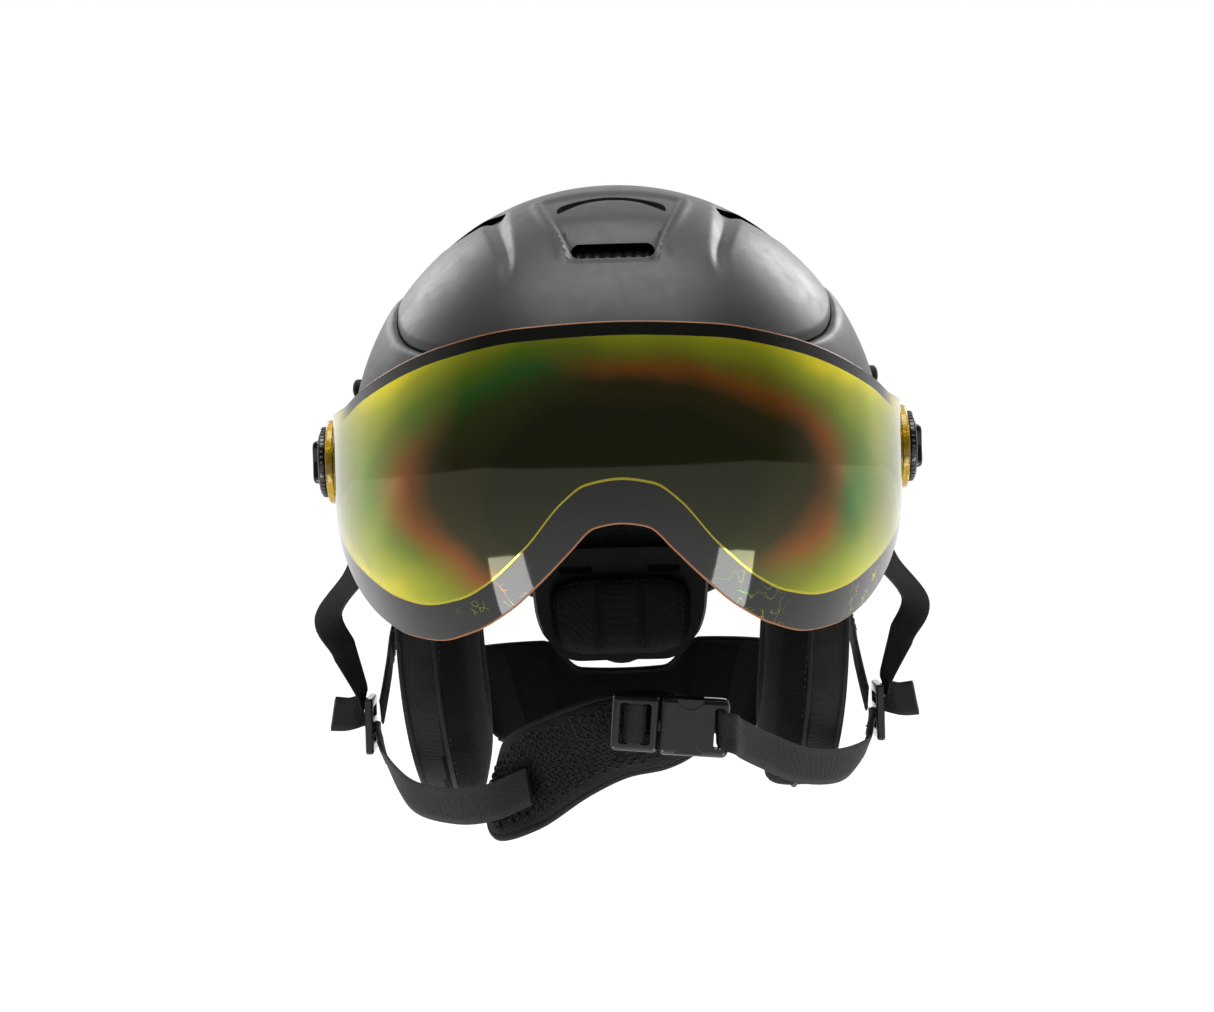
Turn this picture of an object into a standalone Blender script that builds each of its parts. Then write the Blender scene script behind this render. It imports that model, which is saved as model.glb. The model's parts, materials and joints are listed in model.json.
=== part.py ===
"""Ski helmet with a swing-up visor, as an assembly of separate solids.

Metres, +Z up, the face looks along -Y. The origin is on the visor's pivot axis, midway between the
pivots. A place on the helmet is given by its bearing in degrees, 0 at the face and 90 towards +X,
and by its height. Left and right are as seen from in front of the helmet: left is at -X.
"""

import math

import bmesh
import bpy
from mathutils import Matrix, Vector

# Shell
HALF_WIDTH = 0.112  # half the outside width at the pivots
FRONT_REACH = 0.126  # pivot axis to the brow
REAR_REACH = 0.146  # pivot axis to the back
CROWN_RISE = 0.1145  # pivot axis to the crown
SKIRT_DEPTH = 0.175  # the side walls close in towards this depth
PLAN_POWER = 2.15  # 2 is an oval seen from above, more is squarer
SHELL_WALL = 0.0025
SHELL_SPLIT = 0.0008  # gap along the parting line
LOWER_PROUD = 0.0012  # the lower shell stands this far outside the upper one
# Bearing in degrees against height, the same on both sides
PARTING_LINE = ((0, 0.040), (35, 0.041), (52, 0.046), (72, 0.060), (90, 0.071), (120, 0.066), (180, 0.046))
SHELL_RIM = ((0, 0.022), (35, 0.018), (55, 0.004), (75, -0.024), (95, -0.034), (120, -0.040), (180, -0.078))
# Liner and pads inside
LINER_WALL = 0.021
LINER_RIM_STEP = 0.0065  # the liner stops this far inside the shell's rim
PAD_THICK = 0.006
FIT_GAP = 0.0006  # between pieces that are pressed or glued together
PAD_GAP = 0.0017  # between the liner and the pads on it
# Vents
SLOT_WIDTH = 0.033
SLOT_HEIGHT = 0.0075
# height and width of the lower and the upper slot
FRONT_SLOTS = ((CROWN_RISE - 0.033, SLOT_WIDTH), (CROWN_RISE - 0.011, 0.043))
STOP_HEIGHT = 0.031  # visor stops, above the pivots
STOP_RADIUS = 0.0042
INTAKE_WALL = 0.0016
SIDE_VENT_LENGTH = 0.035
SIDE_VENT_WIDTH = 0.011
# Visor, a patch of a surface turned about the pivot axis
LENS_HALF_WIDTH = HALF_WIDTH + 0.008
LENS_REACH = FRONT_REACH + 0.020
LENS_POWER = 2.4
LENS_WALL = 0.0022
LENS_TOP = ((0, 0.051), (15, 0.0495), (28, 0.044), (47, 0.030), (58, 0.022), (75, 0.0195), (90, 0.021))
LENS_FOOT = (
    (0, -0.0235), (4, -0.025), (8, -0.034), (12.5, -0.0445), (18.5, -0.056), (26, -0.0645), (34, -0.0685),
    (42, -0.067), (50, -0.061), (58, -0.051), (65, -0.040), (73, -0.029), (82, -0.0225), (90, -0.021),
)
LUG_RADIUS = 0.021
SEAL_DEPTH = 0.006
# Pivot
BASE_RADIUS = 0.016
SHAFT_RADIUS = 0.0056
SHAFT_CLEARANCE = 0.0006
RING_RADIUS = 0.018
RING_HEIGHT = 0.0033
DISC_RADIUS = 0.0148
DISC_HEIGHT = 0.0030
GRIP_LENGTH = 0.019
GRIP_HEIGHT = 0.0035
TURN_GAP = 0.0004  # running gap between pieces that turn on each other
# Fit system at the nape
CRADLE_WALL = 0.0025
CRADLE_INSET = 0.0300  # from the shell's outside to the cradle's outer face
CRADLE_TOP = -0.046
CRADLE_FOOT = -0.098
ARM_WALL = 0.0020
ARM_GAP = 0.0014  # between the arms and the cradle that they slide on
ARM_WIDTH = 0.011
ARM_BEARINGS = (122, 158)
DIAL_RADIUS = 0.0135
DIAL_HEIGHT = 0.009
DIAL_DROP = -0.084  # height of the dial's centre
HOUSING_RADIUS = 0.016
HOUSING_HEIGHT = 0.003
SPINDLE_RADIUS = 0.004
SPINDLE_HEIGHT = 0.0015
# Soft side parts
EAR_PAD_OUT = HALF_WIDTH - 0.0145
EAR_PAD_THICK = 0.031
EAR_PAD_TOP = -0.038
EAR_PAD_FOOT = -0.146
EAR_PAD_HALF_DEPTH = 0.040
EAR_PAD_SHIFT = 0.012  # behind the pivot axis
SNAP_RADIUS = 0.0055
# Bearing away from the back of the head against height
NECK_ROLL_TOP = ((0, -0.104), (13, -0.103), (24, -0.090), (60, -0.089))
NECK_ROLL_FOOT = -0.130
NECK_ROLL_THICK = 0.014
# Straps
STRAP_WIDTH = 0.015
STRAP_WALL = 0.0016
ANCHOR_BEARINGS = (64, 122)
ANCHOR_WALL = 0.0030
SLIDER_WIDTH = 0.022
SLIDER_LENGTH = 0.024
SLIDER_WALL = 0.0035
# Buckle, across the chin
BUCKLE_CENTRE = Vector((0.0140, -0.1020, -0.1045))
BUCKLE_TILT = math.radians(5.0)  # its right end hangs lower
SOCKET_LENGTH = 0.027
SOCKET_WIDTH = 0.023
SOCKET_HEIGHT = 0.0085
SOCKET_WALL = 0.0016
PRONG_REACH = 0.017
PRONG_WIDTH = 0.0032
PLUG_LENGTH = 0.0185

PITCH = 10.0  # degrees of bearing between the shell's columns


# ---------------------------------------------------------------- helpers


def signed_power(value, power):
    return math.copysign(abs(value) ** power, value)


def along(points, x):
    """Height at bearing x on a smooth line through the points, which never overshoots them."""
    x = min(max(abs(x), points[0][0]), points[-1][0])
    slopes = [(b[1] - a[1]) / (b[0] - a[0]) for a, b in zip(points, points[1:])]
    tangents = [0.0]
    for before, after in zip(slopes, slopes[1:]):
        tangents.append(0.0 if before * after <= 0 else 2 * before * after / (before + after))
    tangents.append(0.0)
    i = next(k for k in range(len(slopes)) if x <= points[k + 1][0])
    (x0, y0), (x1, y1) = points[i], points[i + 1]
    t = (x - x0) / (x1 - x0)
    span = x1 - x0
    return (
        y0 * (1 + 2 * t) * (1 - t) ** 2
        + span * tangents[i] * t * (1 - t) ** 2
        + y1 * t * t * (3 - 2 * t)
        - span * tangents[i + 1] * t * t * (1 - t)
    )


def shell_point(bearing, height, inset):
    """A point on the dome this far inside the shell's outer face."""
    rise = CROWN_RISE - inset if height > 0 else SKIRT_DEPTH
    share = min(abs(height) / rise, 1.0)
    ring = math.sqrt(max(1 - share * share, 0.0))
    angle = math.radians(bearing)
    reach = FRONT_REACH if math.cos(angle) > 0 else REAR_REACH
    across = signed_power(math.sin(angle), 2 / PLAN_POWER)
    ahead = signed_power(math.cos(angle), 2 / PLAN_POWER)
    return Vector(((HALF_WIDTH - inset) * across * ring, -(reach - inset) * ahead * ring, height))


def dome_column(bearing, foot, inset, rows):
    """Points from the crown down to the foot, closer together where the dome is flat."""
    top = CROWN_RISE - inset
    start = 0.5 * math.pi
    end = math.asin(foot / top) if foot > 0 else math.asin(foot / SKIRT_DEPTH)
    column = []
    for k in range(rows + 1):
        angle = start + (end - start) * k / rows
        height = (top if angle > 0 else SKIRT_DEPTH) * math.sin(angle)
        column.append(shell_point(bearing, height, inset))
    return column


def band_column(bearing, top, foot, inset, rows):
    return [shell_point(bearing, top + (foot - top) * k / rows, inset) for k in range(rows + 1)]


def lens_profile(radius, inset):
    """How far out the visor's surface is at this distance from the pivot axis."""
    share = min(radius / (LENS_REACH - inset), 1.0)
    return (LENS_HALF_WIDTH - inset) * (1 - share**LENS_POWER) ** (1 / LENS_POWER)


def lens_point(bearing, height, inset):
    """The point of the visor's surface in this direction from the upright axis, at this height."""
    angle = math.radians(bearing)
    low, high = 0.0, LENS_REACH + LENS_HALF_WIDTH
    for _ in range(40):
        reach = 0.5 * (low + high)
        radius = math.hypot(reach * math.cos(angle), height)
        outside = radius >= LENS_REACH - inset
        if outside or reach * abs(math.sin(angle)) > lens_profile(radius, inset):
            high = reach
        else:
            low = reach
    return Vector((low * math.sin(angle), -low * math.cos(angle), height))


def material(name, colour, roughness, metallic=0.0):
    made = bpy.data.materials.new(name)
    made.use_nodes = True
    shader = made.node_tree.nodes["Principled BSDF"]
    shader.inputs["Base Color"].default_value = (*colour, 1.0)
    shader.inputs["Roughness"].default_value = roughness
    shader.inputs["Metallic"].default_value = metallic
    return made


def place(name, mesh, finish, origin=(0, 0, 0), axes=None):
    """Puts a mesh in the scene as one piece, with its origin moved to a point that matters."""
    mesh.transform(Matrix.Translation(-Vector(origin)))
    mesh.materials.append(finish)
    mesh.shade_smooth()
    mesh.set_sharp_from_angle(angle=math.radians(35))
    piece = bpy.data.objects.new(name, mesh)
    piece.location = origin
    bpy.context.scene.collection.objects.link(piece)
    if axes:
        piece.parent = axes
        piece.matrix_parent_inverse = axes.matrix_basis.inverted()
    return piece


def finished_mesh(name, shape):
    bmesh.ops.remove_doubles(shape, verts=shape.verts[:], dist=1e-6)
    bmesh.ops.dissolve_degenerate(shape, dist=1e-6, edges=shape.edges[:])
    bmesh.ops.recalc_face_normals(shape, faces=shape.faces[:])
    mesh = bpy.data.meshes.new(name)
    shape.to_mesh(mesh)
    shape.free()
    return mesh


def skin_mesh(name, outer, inner, around=False):
    """A closed wall between two grids of points; around joins the last column to the first."""
    shape = bmesh.new()
    sheets = [[[shape.verts.new(p) for p in column] for column in grid] for grid in (outer, inner)]
    columns, rows = len(outer), len(outer[0])
    spans = range(columns if around else columns - 1)
    for sheet in sheets:
        for i in spans:
            left, right = sheet[i], sheet[(i + 1) % columns]
            for j in range(rows - 1):
                shape.faces.new((left[j], left[j + 1], right[j + 1], right[j]))
    for i in spans:
        after = (i + 1) % columns
        for j in (0, rows - 1):
            shape.faces.new((sheets[0][i][j], sheets[0][after][j], sheets[1][after][j], sheets[1][i][j]))
    if not around:
        for i in (0, columns - 1):
            for j in range(rows - 1):
                a, b = sheets[0][i], sheets[1][i]
                shape.faces.new((a[j], a[j + 1], b[j + 1], b[j]))
    return finished_mesh(name, shape)


def dome_mesh(name, foot_line, foot_step, inset, wall, rows):
    """A bowl from the crown down to a line, of this wall thickness."""
    shape = bmesh.new()
    bearings = [PITCH * k for k in range(round(360 / PITCH))]
    rings = []
    for depth in (inset, inset + wall):
        columns = []
        for bearing in bearings:
            turn = bearing if bearing <= 180 else bearing - 360
            foot = along(foot_line, turn) + foot_step
            columns.append([shape.verts.new(p) for p in dome_column(bearing, foot, depth, rows)[1:]])
        crown = shape.verts.new((0, 0, CROWN_RISE - depth))
        count = len(columns)
        for i in range(count):
            left, right = columns[i], columns[(i + 1) % count]
            shape.faces.new((crown, left[0], right[0]))
            for j in range(rows - 1):
                shape.faces.new((left[j], left[j + 1], right[j + 1], right[j]))
        rings.append([column[-1] for column in columns])
    count = len(rings[0])
    for i in range(count):
        after = (i + 1) % count
        shape.faces.new((rings[0][i], rings[0][after], rings[1][after], rings[1][i]))
    return finished_mesh(name, shape)


def band_mesh(name, bearings, edges, inset, wall, rows):
    """A curved band inside the dome; edges gives its top and foot at a bearing."""
    grids = []
    for depth in (inset, inset + wall):
        grids.append([band_column(b, *edges(b), depth, rows) for b in bearings])
    return skin_mesh(name, *grids)


def patch_mesh(name, start, end, top, foot, inset, wall, columns, rows):
    """A curved pad between two bearings and two heights, on the inside of the dome."""
    bearings = [start + (end - start) * k / columns for k in range(columns + 1)]
    return band_mesh(name, bearings, lambda _: (top, foot), inset, wall, rows)


def block_mesh(name, size, centre, bevel=0.0, turn=None):
    shape = bmesh.new()
    bmesh.ops.create_cube(shape, size=1.0)
    bmesh.ops.scale(shape, vec=size, verts=shape.verts)
    if bevel:
        bmesh.ops.bevel(shape, geom=shape.edges[:], offset=bevel, segments=1, affect="EDGES")
    if turn:
        bmesh.ops.transform(shape, matrix=turn, verts=shape.verts)
    bmesh.ops.translate(shape, vec=centre, verts=shape.verts)
    return finished_mesh(name, shape)


def turned_mesh(name, profile, segments, spin_matrix):
    """A solid turned about its own Z, from a profile of (radius, height) that starts and ends on the axis."""
    shape = bmesh.new()
    columns = []
    for k in range(segments):
        angle = 2 * math.pi * k / segments
        columns.append([shape.verts.new((r * math.cos(angle), r * math.sin(angle), h)) for r, h in profile])
    for i in range(segments):
        left, right = columns[i], columns[(i + 1) % segments]
        for j in range(len(profile) - 1):
            shape.faces.new((left[j], left[j + 1], right[j + 1], right[j]))
        if profile[0][0] > 0:
            shape.faces.new((left[-1], left[0], right[0], right[-1]))
    bmesh.ops.transform(shape, matrix=spin_matrix, verts=shape.verts)
    return finished_mesh(name, shape)


def outwards(side, x, y=0.0, z=0.0):
    """Stands a turned solid on the helmet's side, its own Z pointing away from the head."""
    return Matrix.Translation((side * x, y, z)) @ Matrix.Rotation(side * math.pi / 2, 4, "Y")


def smooth_path(points, steps):
    """Points along a curve that passes through each given point."""
    ends = [2 * points[0] - points[1], *points, 2 * points[-1] - points[-2]]
    path = []
    for a, b, c, d in zip(ends, ends[1:], ends[2:], ends[3:]):
        for k in range(steps):
            t = k / steps
            path.append(
                0.5 * (2 * b + (c - a) * t + (2 * a - 5 * b + 4 * c - d) * t**2 + (3 * b - a - 3 * c + d) * t**3)
            )
    path.append(points[-1])
    return path


def ribbon_mesh(name, points, acrosses, widths, wall, steps=4):
    """A flat strap along a smooth path; each point has its own width direction and width."""
    path = smooth_path([Vector(p) for p in points], steps)
    turns = smooth_path([Vector(a).normalized() for a in acrosses], steps)
    spans = smooth_path([Vector((w, 0, 0)) for w in widths], steps)
    corners = []
    for k, centre in enumerate(path):
        run = (path[min(k + 1, len(path) - 1)] - path[max(k - 1, 0)]).normalized()
        across = (turns[k] - run * turns[k].dot(run)).normalized()
        out = run.cross(across) * wall / 2
        half = across * spans[k].x / 2
        corners.append([centre - half - out, centre + half - out, centre + half + out, centre - half + out])
    shape = bmesh.new()
    rings = [[shape.verts.new(p) for p in ring] for ring in corners]
    for near, far in zip(rings, rings[1:]):
        for j in range(4):
            shape.faces.new((near[j], near[(j + 1) % 4], far[(j + 1) % 4], far[j]))
    shape.faces.new(rings[0])
    shape.faces.new(rings[-1])
    return finished_mesh(name, shape)


def cut(piece, cutter_mesh):
    """Cuts a shape out of a piece, and keeps the cutter as a wire guide."""
    cutter = bpy.data.objects.new(f"{piece.name}_cutter_{len(piece.modifiers)}", cutter_mesh)
    bpy.context.scene.collection.objects.link(cutter)
    cutter.parent = piece
    cutter.matrix_parent_inverse = Matrix.Translation(-piece.location)
    cutter.hide_render = True
    cutter.display_type = "WIRE"
    carve = piece.modifiers.new("cut", "BOOLEAN")
    carve.operation = "DIFFERENCE"
    carve.object = cutter
    carve.solver = "EXACT"


def axis_empty(name, point):
    empty = bpy.data.objects.new(name, None)
    empty.location = point
    empty.empty_display_size = 0.01
    bpy.context.scene.collection.objects.link(empty)
    return empty


def side_name(side):
    return "left" if side < 0 else "right"


# ---------------------------------------------------------------- shells and liner


def slot_cutter(height, width, tall):
    """A round-ended slot that runs back through the front of the shell."""
    shape = bmesh.new()
    radius = tall / 2
    rim = []
    for end in (1, -1):
        for k in range(7):
            angle = math.radians(-90 + 30 * k)
            x = end * (width / 2 - radius + radius * math.cos(angle))
            rim.append((x, end * radius * math.sin(angle)))
    y_back = 0.5 * shell_point(0, height, 0).y
    near = [shape.verts.new((x, -LENS_REACH, height + z)) for x, z in rim]
    far = [shape.verts.new((x, y_back, height + z)) for x, z in rim]
    shape.faces.new(near)
    shape.faces.new(far)
    for k in range(len(rim)):
        after = (k + 1) % len(rim)
        shape.faces.new((near[k], near[after], far[after], far[k]))
    return finished_mesh("slot", shape)


def vent_cutter(bearing, height, length, width, slope=0.0):
    """A lens-shaped hole through the wall at this bearing and height."""
    outside = shell_point(bearing, height, -0.004)
    inside = shell_point(bearing, height, 0.012)
    out = (outside - inside).normalized()
    across = out.cross(Vector((0, 0, 1))).normalized()
    up = across.cross(out)
    tilt = Matrix.Rotation(slope, 3, out)
    across = tilt @ across
    up = tilt @ up
    rim = []
    for k in range(12):
        angle = 2 * math.pi * k / 12
        rim.append(across * signed_power(math.cos(angle), 1.3) * length / 2 + up * math.sin(angle) * width / 2)
    shape = bmesh.new()
    near = [shape.verts.new(outside + out * 0.010 + p) for p in rim]
    far = [shape.verts.new(inside - out * 0.004 + p) for p in rim]
    shape.faces.new(near)
    shape.faces.new(far)
    for k in range(12):
        after = (k + 1) % 12
        shape.faces.new((near[k], near[after], far[after], far[k]))
    return finished_mesh("vent", shape)


def build_upper_shell(finish):
    mesh = dome_mesh("upper_shell", PARTING_LINE, SHELL_SPLIT / 2, 0.0, SHELL_WALL, 10)
    shell = place("upper_shell", mesh, finish)
    for height, width in FRONT_SLOTS:
        cut(shell, slot_cutter(height, width, SLOT_HEIGHT))
    for side in (-1, 1):
        cut(shell, vent_cutter(side * 74, CROWN_RISE - 0.020, SIDE_VENT_LENGTH, SIDE_VENT_WIDTH, side * -0.3))
        cut(shell, vent_cutter(side * 155, CROWN_RISE - 0.0345, SIDE_VENT_LENGTH, SIDE_VENT_WIDTH))


def build_lower_shell(finish):
    bearings = [PITCH * k for k in range(round(360 / PITCH))]
    grids = []
    for inset in (-LOWER_PROUD, SHELL_WALL - LOWER_PROUD):
        grid = []
        for bearing in bearings:
            turn = bearing if bearing <= 180 else bearing - 360
            top = along(PARTING_LINE, turn) - SHELL_SPLIT / 2
            grid.append(band_column(bearing, top, along(SHELL_RIM, turn), inset, 5))
        grids.append(grid)
    place("lower_shell", skin_mesh("lower_shell", *grids, around=True), finish)


def build_liner(finish):
    inset = SHELL_WALL + FIT_GAP
    mesh = dome_mesh("foam_liner", SHELL_RIM, LINER_RIM_STEP, inset, LINER_WALL, 8)
    liner = place("foam_liner", mesh, finish)
    room = HOUSING_RADIUS + 0.003
    profile = ((0, -0.004), (room, -0.004), (room, 0.030), (0, 0.030))
    cut(liner, turned_mesh("dial_notch", profile, 24, dial_seat(0.0)))
    (low, _), (high, widest) = FRONT_SLOTS
    duct = (widest + 0.002, FRONT_REACH, high - low + 2 * SLOT_HEIGHT)
    cut(liner, block_mesh("front_duct", duct, (0, -FRONT_REACH, (low + high) / 2)))


def build_pads(finish):
    inset = SHELL_WALL + FIT_GAP + LINER_WALL + PAD_GAP
    brow = patch_mesh("brow_pad", -48, 48, 0.056, 0.030, inset, PAD_THICK, 12, 2)
    place("brow_pad", brow, finish)
    for side in (-1, 1):
        name = f"side_pad_{side_name(side)}"
        place(name, patch_mesh(name, side * 62, side * 108, 0.052, 0.004, inset, PAD_THICK, 6, 3), finish)
    crown_foot = 0.94 * (CROWN_RISE - inset)
    column_count = 16
    outer, inner = [], []
    for k in range(column_count):
        bearing = 360 * k / column_count
        outer.append(dome_column(bearing, crown_foot, inset, 3))
        inner.append(dome_column(bearing, crown_foot - PAD_THICK, inset + PAD_THICK, 3))
    place("crown_pad", skin_mesh("crown_pad", outer, inner, around=True), finish)


def build_intake(finish):
    """The insert behind the lower front slot, between the shell and the liner."""
    middle = FRONT_SLOTS[0][0]
    inset = SHELL_WALL + FIT_GAP
    insert = patch_mesh(
        "intake_insert", -9, 9, middle + SLOT_HEIGHT, middle - SLOT_HEIGHT * 0.9, inset, INTAKE_WALL, 4, 3
    )
    place("intake_insert", insert, finish)


# ---------------------------------------------------------------- visor


def lens_edges(bearing):
    """Foot and top of the lens at this bearing; past 90 degrees they follow the round lug."""
    if abs(bearing) <= 90:
        return along(LENS_FOOT, bearing), along(LENS_TOP, bearing)
    behind = LENS_HALF_WIDTH * math.tan(math.radians(abs(bearing) - 90))
    half = math.sqrt(max(LUG_RADIUS**2 - behind**2, 0.0))
    return -half, half


def lens_bearings():
    last = 90 + math.degrees(math.atan(0.96 * LUG_RADIUS / LENS_HALF_WIDTH))
    half = [*(5 * k for k in range(19)), *(90 + (last - 90) * share for share in (0.31, 0.63, 0.89)), last]
    return [-b for b in half[:0:-1]] + half


def build_lens(finish, axis):
    rows = 6
    grids = []
    for inset in (0.0, LENS_WALL):
        grid = []
        for bearing in lens_bearings():
            foot, top = lens_edges(bearing)
            grid.append([lens_point(bearing, top + (foot - top) * k / rows, inset) for k in range(rows + 1)])
        grids.append(grid)
    lens = place("visor_lens", skin_mesh("visor_lens", *grids), finish, axes=axis)
    hole = SHAFT_RADIUS + SHAFT_CLEARANCE
    for side in (-1, 1):
        start = LENS_HALF_WIDTH - 0.010
        profile = ((0, 0), (hole, 0), (hole, 0.020), (0, 0.020))
        cut(lens, turned_mesh("pivot_hole", profile, 20, outwards(side, start)))


def build_seal(finish, axis):
    """The foam strip glued inside the lens along its top edge."""
    bearings = [-48 + 6 * k for k in range(17)]
    gap = LENS_WALL + FIT_GAP
    grids = []
    for inset in (gap, gap + SEAL_DEPTH):
        grid = []
        for bearing in bearings:
            top = lens_edges(bearing)[1] - 0.002
            grid.append([lens_point(bearing, top - 0.007 * k, inset) for k in range(2)])
        grids.append(grid)
    place("visor_seal", skin_mesh("visor_seal", *grids), finish, axes=axis)


def build_pivot(side, black, clear, visor_axis):
    """The base on the shell, the clear ring on the lens and the turning knob that holds both."""
    word = side_name(side)
    shell_out = HALF_WIDTH + LOWER_PROUD
    base_in = shell_out + FIT_GAP
    base_out = LENS_HALF_WIDTH - LENS_WALL - TURN_GAP - FIT_GAP
    bore = SHAFT_RADIUS + SHAFT_CLEARANCE
    tall = base_out - base_in
    base = ((0, 0), (BASE_RADIUS, 0), (BASE_RADIUS, tall - 0.0006), (BASE_RADIUS - 0.0006, tall), (bore, tall),
            (bore, 0.0008), (0, 0.0008))
    place(f"pivot_base_{word}", turned_mesh("base", base, 28, outwards(side, base_in)), black)
    ring_in = LENS_HALF_WIDTH + FIT_GAP
    ring = ((bore, 0), (RING_RADIUS, 0), (RING_RADIUS, RING_HEIGHT - 0.001), (RING_RADIUS - 0.001, RING_HEIGHT),
            (bore, RING_HEIGHT))
    place(f"pivot_ring_{word}", turned_mesh("ring", ring, 32, outwards(side, ring_in)), clear, axes=visor_axis)
    disc_in = ring_in + RING_HEIGHT + TURN_GAP
    root = base_in + 0.0008 + TURN_GAP - disc_in
    knob = ((0, root), (SHAFT_RADIUS, root), (SHAFT_RADIUS, 0), (DISC_RADIUS, 0),
            (DISC_RADIUS, DISC_HEIGHT - 0.0012), (DISC_RADIUS - 0.0012, DISC_HEIGHT), (0, DISC_HEIGHT))
    axis = axis_empty(f"knob_axis_{word}", (side * disc_in, 0, 0))
    piece = place(f"pivot_knob_{word}", turned_mesh("knob", knob, 28, outwards(side, disc_in)), black, axes=axis)
    grip = block_mesh(
        "grip",
        (GRIP_HEIGHT + 0.001, 0.0055, GRIP_LENGTH),
        (side * (disc_in + DISC_HEIGHT + GRIP_HEIGHT / 2 - 0.0005), 0, 0),
        0.0012,
    )
    join(piece, grip)


def join(piece, other_mesh):
    """Makes another shape part of a piece, as one body."""
    other = bpy.data.objects.new(f"{piece.name}_part_{len(piece.modifiers)}", other_mesh)
    bpy.context.scene.collection.objects.link(other)
    other.parent = piece
    other.matrix_parent_inverse = Matrix.Translation(-piece.location)
    other.hide_render = True
    other.display_type = "WIRE"
    union = piece.modifiers.new("join", "BOOLEAN")
    union.operation = "UNION"
    union.object = other
    union.solver = "EXACT"


def build_stops(finish):
    """The small rounded stops above the pivots, which the lens edge rests on."""
    for side in (-1, 1):
        name = f"visor_stop_{side_name(side)}"
        start = shell_point(90, STOP_HEIGHT - STOP_RADIUS / 2, -LOWER_PROUD).x + FIT_GAP
        profile = ((0, 0), (STOP_RADIUS, 0), (STOP_RADIUS, 0.0016), (STOP_RADIUS - 0.0012, 0.0028), (0, 0.0032))
        place(name, turned_mesh(name, profile, 16, outwards(side, start, 0.006, STOP_HEIGHT)), finish)


# ---------------------------------------------------------------- fit system


def dial_seat(height):
    """Stands a turned solid on the back of the cradle, this far above it."""
    spot = shell_point(180, DIAL_DROP, CRADLE_INSET)
    upper = shell_point(180, DIAL_DROP + HOUSING_RADIUS, CRADLE_INSET)
    lower = shell_point(180, DIAL_DROP - HOUSING_RADIUS, CRADLE_INSET)
    out = Vector((0, (upper - lower).z, -(upper - lower).y)).normalized()
    turn = Vector((0, 0, 1)).rotation_difference(out).to_matrix().to_4x4()
    return Matrix.Translation(spot + out * (FIT_GAP + height)) @ turn


def arm_centre(side):
    """The centre of the circle that a fit arm lies on, seen from above."""
    start, end = ARM_BEARINGS
    a, b, c = (shell_point(side * k, CRADLE_TOP, CRADLE_INSET).xy for k in (start, (start + end) / 2, end))
    p, q = b - a, c - a
    scale = 2 * (p.x * q.y - p.y * q.x)
    x = (q.y * p.length_squared - p.y * q.length_squared) / scale
    y = (p.x * q.length_squared - q.x * p.length_squared) / scale
    return Vector((a.x + x, a.y + y, CRADLE_TOP - ARM_WIDTH))


def build_fit_system(black, grey):
    cradle = patch_mesh("fit_cradle", 150, 210, CRADLE_TOP, CRADLE_FOOT, CRADLE_INSET, CRADLE_WALL, 8, 3)
    place("fit_cradle", cradle, black)
    start, end = ARM_BEARINGS
    bearings = [start + (end - start) * k / 6 for k in range(7)]
    arm_inset = CRADLE_INSET - ARM_GAP - ARM_WALL
    arm_top = CRADLE_TOP - ARM_WIDTH / 2
    for side in (-1, 1):
        name = f"fit_arm_{side_name(side)}"
        arm = band_mesh(
            name, [side * b for b in bearings], lambda _: (arm_top, arm_top - ARM_WIDTH), arm_inset, ARM_WALL, 1
        )
        centre = arm_centre(side)
        place(name, arm, black, centre, axis_empty(f"{name}_axis", centre))
    rim, spindle = HOUSING_RADIUS, SPINDLE_RADIUS
    house = ((0, 0), (rim, 0), (rim, HOUSING_HEIGHT), (spindle, HOUSING_HEIGHT),
             (spindle, HOUSING_HEIGHT + SPINDLE_HEIGHT), (0, HOUSING_HEIGHT + SPINDLE_HEIGHT))
    place("dial_housing", turned_mesh("dial_housing", house, 28, dial_seat(0.0)), black)
    bore, deep = spindle + TURN_GAP, SPINDLE_HEIGHT + TURN_GAP
    dial = ((0, deep), (bore, deep), (bore, 0), (DIAL_RADIUS, 0), (DIAL_RADIUS, DIAL_HEIGHT - 0.0015),
            (DIAL_RADIUS - 0.0015, DIAL_HEIGHT), (0, DIAL_HEIGHT))
    seat = dial_seat(HOUSING_HEIGHT + TURN_GAP)
    axis = axis_empty("dial_axis", seat.to_translation())
    place("fit_dial", turned_mesh("fit_dial", dial, 24, seat), grey, axes=axis)


def build_nape_pad(fabric):
    inset = CRADLE_INSET + CRADLE_WALL + PAD_GAP
    place("nape_pad", patch_mesh("nape_pad", 156, 204, -0.060, -0.094, inset, PAD_THICK, 8, 2), fabric)


# ---------------------------------------------------------------- soft sides and straps


def ear_pad_mesh(side):
    """A rounded cushion: a squarish outline from the side, thinner at its rim, leaning in at its foot."""
    rows, columns = 10, 6
    grids = []
    centre_z = (EAR_PAD_TOP + EAR_PAD_FOOT) / 2
    half_z = (EAR_PAD_TOP - EAR_PAD_FOOT) / 2
    for face in (1, -1):
        grid = []
        for i in range(columns + 1):
            v = -1 + 2 * i / columns
            column = []
            for j in range(rows + 1):
                u = 1 - 2 * j / rows
                narrow = (1 - 0.94 * abs(u) ** 3.2) ** 0.5
                y = EAR_PAD_SHIFT + v * EAR_PAD_HALF_DEPTH * narrow * (1 + 0.1 * u)
                z = centre_z + u * half_z
                bulge = 0.55 + 0.45 * math.sqrt(max(1 - abs(v) ** 3, 0.0)) * math.sqrt(max(1 - abs(u) ** 4, 0.0))
                lean = 0.008 * (0.5 - 0.5 * u) ** 2
                middle = EAR_PAD_OUT - EAR_PAD_THICK / 2 - lean
                column.append(Vector((side * (middle + face * EAR_PAD_THICK / 2 * bulge), y, z)))
            grid.append(column)
        grids.append(grid)
    return skin_mesh("ear_pad", *grids)


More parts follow.
